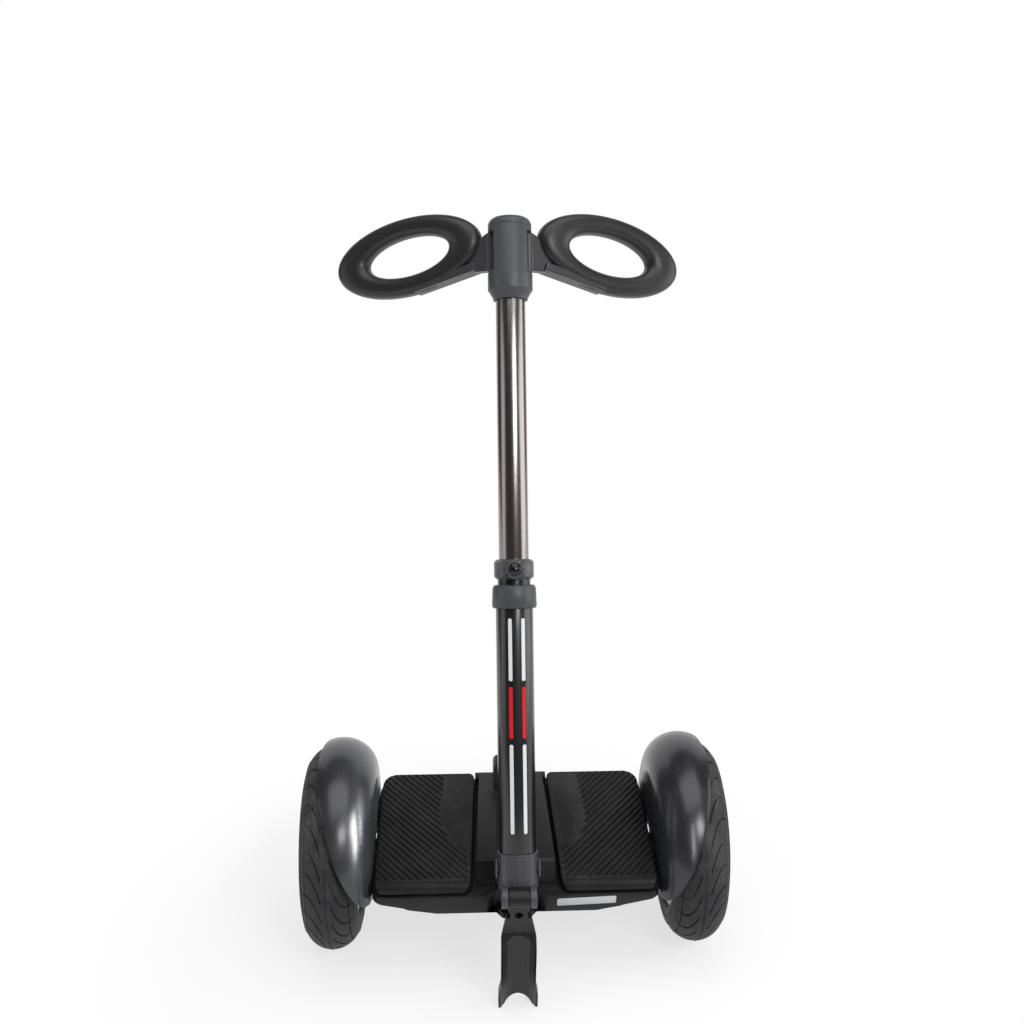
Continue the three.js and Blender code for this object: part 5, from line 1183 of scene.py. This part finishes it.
def makeLockCollar():
    c = collar
    body = turned(c["profile"], "Z", sides=96)
    boss = rod(c["boss"], c["bossReach"], -c["inside"] - 1, c["bossRound"])
    combine(body, "UNION", turned(boss, "Y", z=c["middle"], sides=96))
    ahead = c["bossReach"] - c["over"]
    tools = [turned(rod(c["button"], ahead, c["buttonFloor"]), "Y", z=c["middle"]),
             turned(rod(c["inside"], c["low"] - c["over"], c["shelf"]), "Z", sides=96)]
    for degrees in c["petals"]:
        for side, _ in bothSides:
            a = math.radians(degrees)
            tools.append(turned(rod(c["petal"], ahead, c["bossReach"] + c["petalDeep"]), "Y", sides=24,
                                x=side * c["boss"] * math.cos(a), z=c["middle"] + c["boss"] * math.sin(a)))
    combine(body, "DIFFERENCE", *tools)
    roundEdges(mergeDoubles(body, 0.02), c["round"], 2, 36)
    body.name = "lock_collar_casting"
    placePiece(body, stemFrame, 36)
    settle(body, "steering_stem", "castPaint", "lock_collar", slot="cast_grey")


makeSocket()
makeLeg()
makeHub()
makeLockCollar()
print("castings made")

frames = {label: makeWing(side, label) for side, label in bothSides}
print("wing frames made")

# grip rings: oval foam rubber rings with a notch where the frame's arm lies
grip = {"halfLength": 96.5, "halfHeight": 48, "holeLength": 54.5, "holeHeight": 24, "thick": 15,
        "sideShare": 0.9, "fullness": 0.8, "around": 144, "across": 36, "gap": 0.3}


def signedPower(value, power):
    return math.copysign(abs(value) ** power, value)


def makeGrip(side, label):
    rows = []
    for i in range(grip["around"]):
        a = 2 * math.pi * i / grip["around"]
        c, s = math.cos(a), math.sin(a)
        outer = (grip["halfLength"] * c, grip["halfHeight"] * s)
        inner = (grip["holeLength"] * c, grip["holeHeight"] * s)
        middle = [(o + n) / 2 for o, n in zip(outer, inner)]
        half = [(o - n) / 2 for o, n in zip(outer, inner)]
        thick = grip["thick"] * (grip["sideShare"] + (1 - grip["sideShare"]) * c * c)
        row = []
        for j in range(grip["across"]):
            b = 2 * math.pi * j / grip["across"]
            wide = signedPower(math.cos(b), grip["fullness"])
            deep = signedPower(math.sin(b), grip["fullness"])
            row.append((middle[0] + half[0] * wide, thick * deep, middle[1] + half[1] * wide))
        rows.append(row)
    piece = placePiece(localPiece("grip_ring_" + label, loft(rows, True)), gripFrame(side), 180)
    cutter = addObject("arm", frames[label].data.copy())
    addModifier(cutter, "DISPLACE", strength=grip["gap"] * 0.001)
    combine(piece, "DIFFERENCE", bakeModifiers(cutter))
    shade(piece, 50)
    settle(piece, "wing_" + label, "gripSkin", "grip_pad_" + label, slot="grip_rubber")


for side, label in bothSides:
    makeGrip(side, label)
print("grips made")

# nodes that keep their shape with machined edges: body, paint, slot and rounding
machined = {
    "lock_button": ("lock_key", "buttonPlastic", "hub_plastic", 0.8),
    "wheel_rim_left": ("wheel_left", "alloy", "alloy", 0.8),
    "wheel_rim_right": ("wheel_right", "alloy", "alloy", 0.8),
}
for name, (body, material, slot, width) in machined.items():
    settle(turnedCopy(name, width), body, material, name, slot=slot)
print("machined pieces made:", len(machined))

# pieces turned about the stem: body, paint, slot, rounding and the profile of (radius, along the stem)
turnings = {
    "lower_tube": ("steering_stem", "tubePaint", "tube_paint", 0.4,
                   [(20, -30), (22.5, -30), (22.5, 313.2), (20, 313.2), (20, -30)]),
    "guide_sleeve": ("steering_stem", "buttonPlastic", "button_plastic", 0.3,
                     [(18.3, 245.5), (19.7, 245.5), (19.7, 343.7), (18.3, 343.7), (18.3, 245.5)]),
    "upper_tube": ("mast", "anodised", "anodised", 0.4,
                   [(15.5, 245.5), (18, 245.5), (18, 694), (15.5, 694), (15.5, 245.5)]),
    "lower_collar": ("steering_stem", "hubPlastic", "cast_grey", 0.8,
                     [(22.8, 289.5), (25.6, 289.5), (27, 292), (26.2, 313.5), (24.6, 316.6), (22.9, 317.5),
                      (20, 317.5), (20, 313.5), (22.8, 313.5), (22.8, 289.5)]),
    "hub_cap": ("mast", "hubPlastic", "hub_plastic", 0.5,
                [(0, 746.3), (10.7, 746.3), (10.7, 751.3), (26.5, 751.3), (26.4, 754), (25.6, 756.8),
                 (23.8, 759.4), (20.8, 761.5), (16.5, 762.7), (0, 763)]),
}
shankHoles = {"guide_sleeve": 5.3}  # the lock button's shank passes through the sleeve
for name, (body, material, slot, edge, profile) in turnings.items():
    piece = localPiece(name + "_fine", revolve(profile, 128))
    if name in shankHoles:
        combine(piece, "DIFFERENCE", turned(rod(shankHoles[name], -40, 0), "Y", z=collar["middle"]))
    roundEdges(piece, edge, 3, 40)
    settle(placePiece(piece, stemFrame), body, material, name, slot=slot)
print("turned pieces made:", len(turnings))


# domed caps of the cross bolt, each with a hexagon socket
def makeBoltCap(side, label):
    c = boltCap
    profile = [(0, c["from"]), (c["radius"], c["from"]), (c["radius"], c["to"] - c["dome"])]
    for s in range(1, 9):
        a = math.radians(90 * s / 8)
        profile.append((c["radius"] * math.cos(a * c["domeShare"]), c["to"] - c["dome"] * (1 - math.sin(a))))
    profile.append((0, c["to"]))
    piece = localPiece("bolt_cap_" + label, revolve(profile, 64, "X"))
    combine(piece, "DIFFERENCE", turned(rod(c["socket"], c["to"] - c["deep"], c["to"] + 1), "X", sides=6))
    placePiece(piece, stemFrame @ shift(0, 0, c["along"]) @ Matrix.Diagonal((side, 1, 1, 1)), 40)
    settle(piece, "steering_stem", "castPaint", "cross_bolt_cap_" + label, slot="cast_grey")


for side, label in bothSides:
    makeBoltCap(side, label)
print("bolt caps made")

# plain printed bars on the lower tube and a blank sticker on the front lip
bars = {"radius": 22.56, "half": 2.3, "corner": 1.6, "rails": (-6.5, 9.5), "thick": 0.06, "rows": 24,
        "across": 5, "spans": {"upper_white": (204, 278, "plainWhite"), "middle_red": (136, 197, "plainRed"),
                               "lower_white": (24, 129, "plainWhite")}}
sticker = {"left": 50, "right": 123, "half": 6.2, "leftUp": 5.4, "rightUp": 8.6, "corner": 2.6, "proud": 0.12,
           "thick": 0.2, "round": 0.07}


def makeBar(name, low, high, material):
    points, faces = [], []
    for rail in bars["rails"]:
        first = len(points)
        for i in range(bars["rows"] + 1):
            z = low + (high - low) * (1 - math.cos(math.pi * i / bars["rows"])) / 2
            inset = max(0.0, bars["corner"] - min(z - low, high - z))
            half = bars["half"] - bars["corner"] + math.sqrt(max(bars["corner"] ** 2 - inset ** 2, 0.0))
            for j in range(bars["across"]):
                a = (rail + half * (2 * j / (bars["across"] - 1) - 1)) / bars["radius"]
                points.append((bars["radius"] * math.sin(a), -bars["radius"] * math.cos(a), z))
        faces += [[first + n for n in face] for face in bands(bars["across"], bars["rows"] + 1, around=False)]
    piece = meshObject("bar_" + name, points, [], faces)
    addModifier(piece, "SOLIDIFY", thickness=bars["thick"], offset=0)
    placePiece(bakeModifiers(piece), stemFrame, 40)
    settle(piece, "steering_stem", material)


def makeSticker():
    s = sticker
    corners = [(x, up + end * s["half"], s["corner"]) for x, up, end in
               ((s["left"], s["leftUp"], -1), (s["right"], s["rightUp"], -1),
                (s["right"], s["rightUp"], 1), (s["left"], s["leftUp"], 1))]
    piece = localPiece("front_label", prism(corners, 0, s["thick"], "XU"))
    roundEdges(piece, s["round"], 2, 40)
    slope = housing["lean"] / (housing["top"] - housing["parting"])
    for point in piece.data.vertices:
        point.co.y -= housing["front"] - slope * (housing["top"] - point.co.z) + s["proud"] - s["thick"]
    placePiece(piece, deckFrame, 40)
    settle(piece, "deck", "plainWhite")


for name, (low, high, material) in bars["spans"].items():
    makeBar(name, low, high, material)
makeSticker()
print("bars and label made")

# button head screws on the wheel faces and under the deck; a head's outer rings are (radius, up), followed by
# those of its hexagon socket
screw = {"sides": 24, "seed": 5, "outer": [(1, 0.0), (1, 0.12), (0.93, 0.34), (0.76, 0.48), (0.56, 0.54)],
         "socket": [(0.46, 0.52), (0.46, 0.14)], "trayX": (-128, -46, 46, 128), "trayForward": (-58, 58),
         "traySize": 3.6}
wheelScrews = {"rim_screws_": {"count": 6, "radius": 68, "face": 20, "size": 3.4},
               "boss_screws_": {"count": 5, "radius": 15.5, "face": 27, "size": 2.6}}


def makeScrewHead():
    # of radius one, standing on its seat
    outer, socket = screw["outer"], screw["socket"]
    angles = [2 * math.pi * k / screw["sides"] for k in range(screw["sides"])]
    rows = [[(r * math.cos(a), r * math.sin(a), up) for a in angles] for r, up in outer]
    for radius, up in socket:
        flats = [radius * math.cos(math.pi / 6) / math.cos((a % (math.pi / 3)) - math.pi / 6) for a in angles]
        rows.append([(r * math.cos(a), r * math.sin(a), up) for a, r in zip(angles, flats)])
    return localPiece("screwHead", loft(rows, False))


def makeScrews(name, body, places, facing, size, place):
    piece = meshObject(name, places, [], [])
    for item in piece.data.attributes.new("facing", "FLOAT_VECTOR", "POINT").data:
        item.vector = facing
    head = makeScrewHead()
    growTree(piece, fitScrews, "screwSteel", Head=head, Size=float(size), Seed=screw["seed"])
    bpy.data.objects.remove(head)
    placePiece(piece, place, 30)
    settle(piece, body, "screwSteel", slot="steel")


def ringOf(count, radius, x):
    angles = [2 * math.pi * (k + 0.5) / count for k in range(count)]
    return [(x, radius * math.cos(a), radius * math.sin(a)) for a in angles]


for side, label in bothSides:
    for name, ring in wheelScrews.items():
        places = ringOf(ring["count"], ring["radius"], ring["face"])
        makeScrews(name + label, "wheel_" + label, places, (1, 0, 0), ring["size"], wheelFrame(side))
makeScrews("tray_screws", "deck", [(x, -f, tray["up"]) for x in screw["trayX"] for f in screw["trayForward"]],
           (0, 0, -1), screw["traySize"], deckFrame)
print("screws fitted")

# nodes that keep their own shape and take a finish
plain = {
    "buttonPlastic": ["power_button", "charge_inlet", "pad_sensor_left", "pad_sensor_right"],
    "steel": ["axle_left", "axle_right", "steering_bearing", "steering_spindle", "cross_bolt", "stand_pin",
              "wing_pin_left", "wing_pin_right"],
    "alloy": ["chassis_beam", "axle_clamp_left", "axle_clamp_right", "motor_cover_left", "motor_cover_right"],
    "copper": ["stator_left", "stator_right"],
    "magnetCoat": ["magnet_ring_left", "magnet_ring_right"],
    "batteryWrap": ["battery_pack"],
    "boardGreen": ["control_board"],
    "amberBush": ["centring_bush"],
    "hubPlastic": ["tube_end_bush"],
}
for material, names in plain.items():
    for name in names:
        nodes[name].data.materials.clear()
        nodes[name].data.materials.append(paint[material])
print("plain nodes finished")
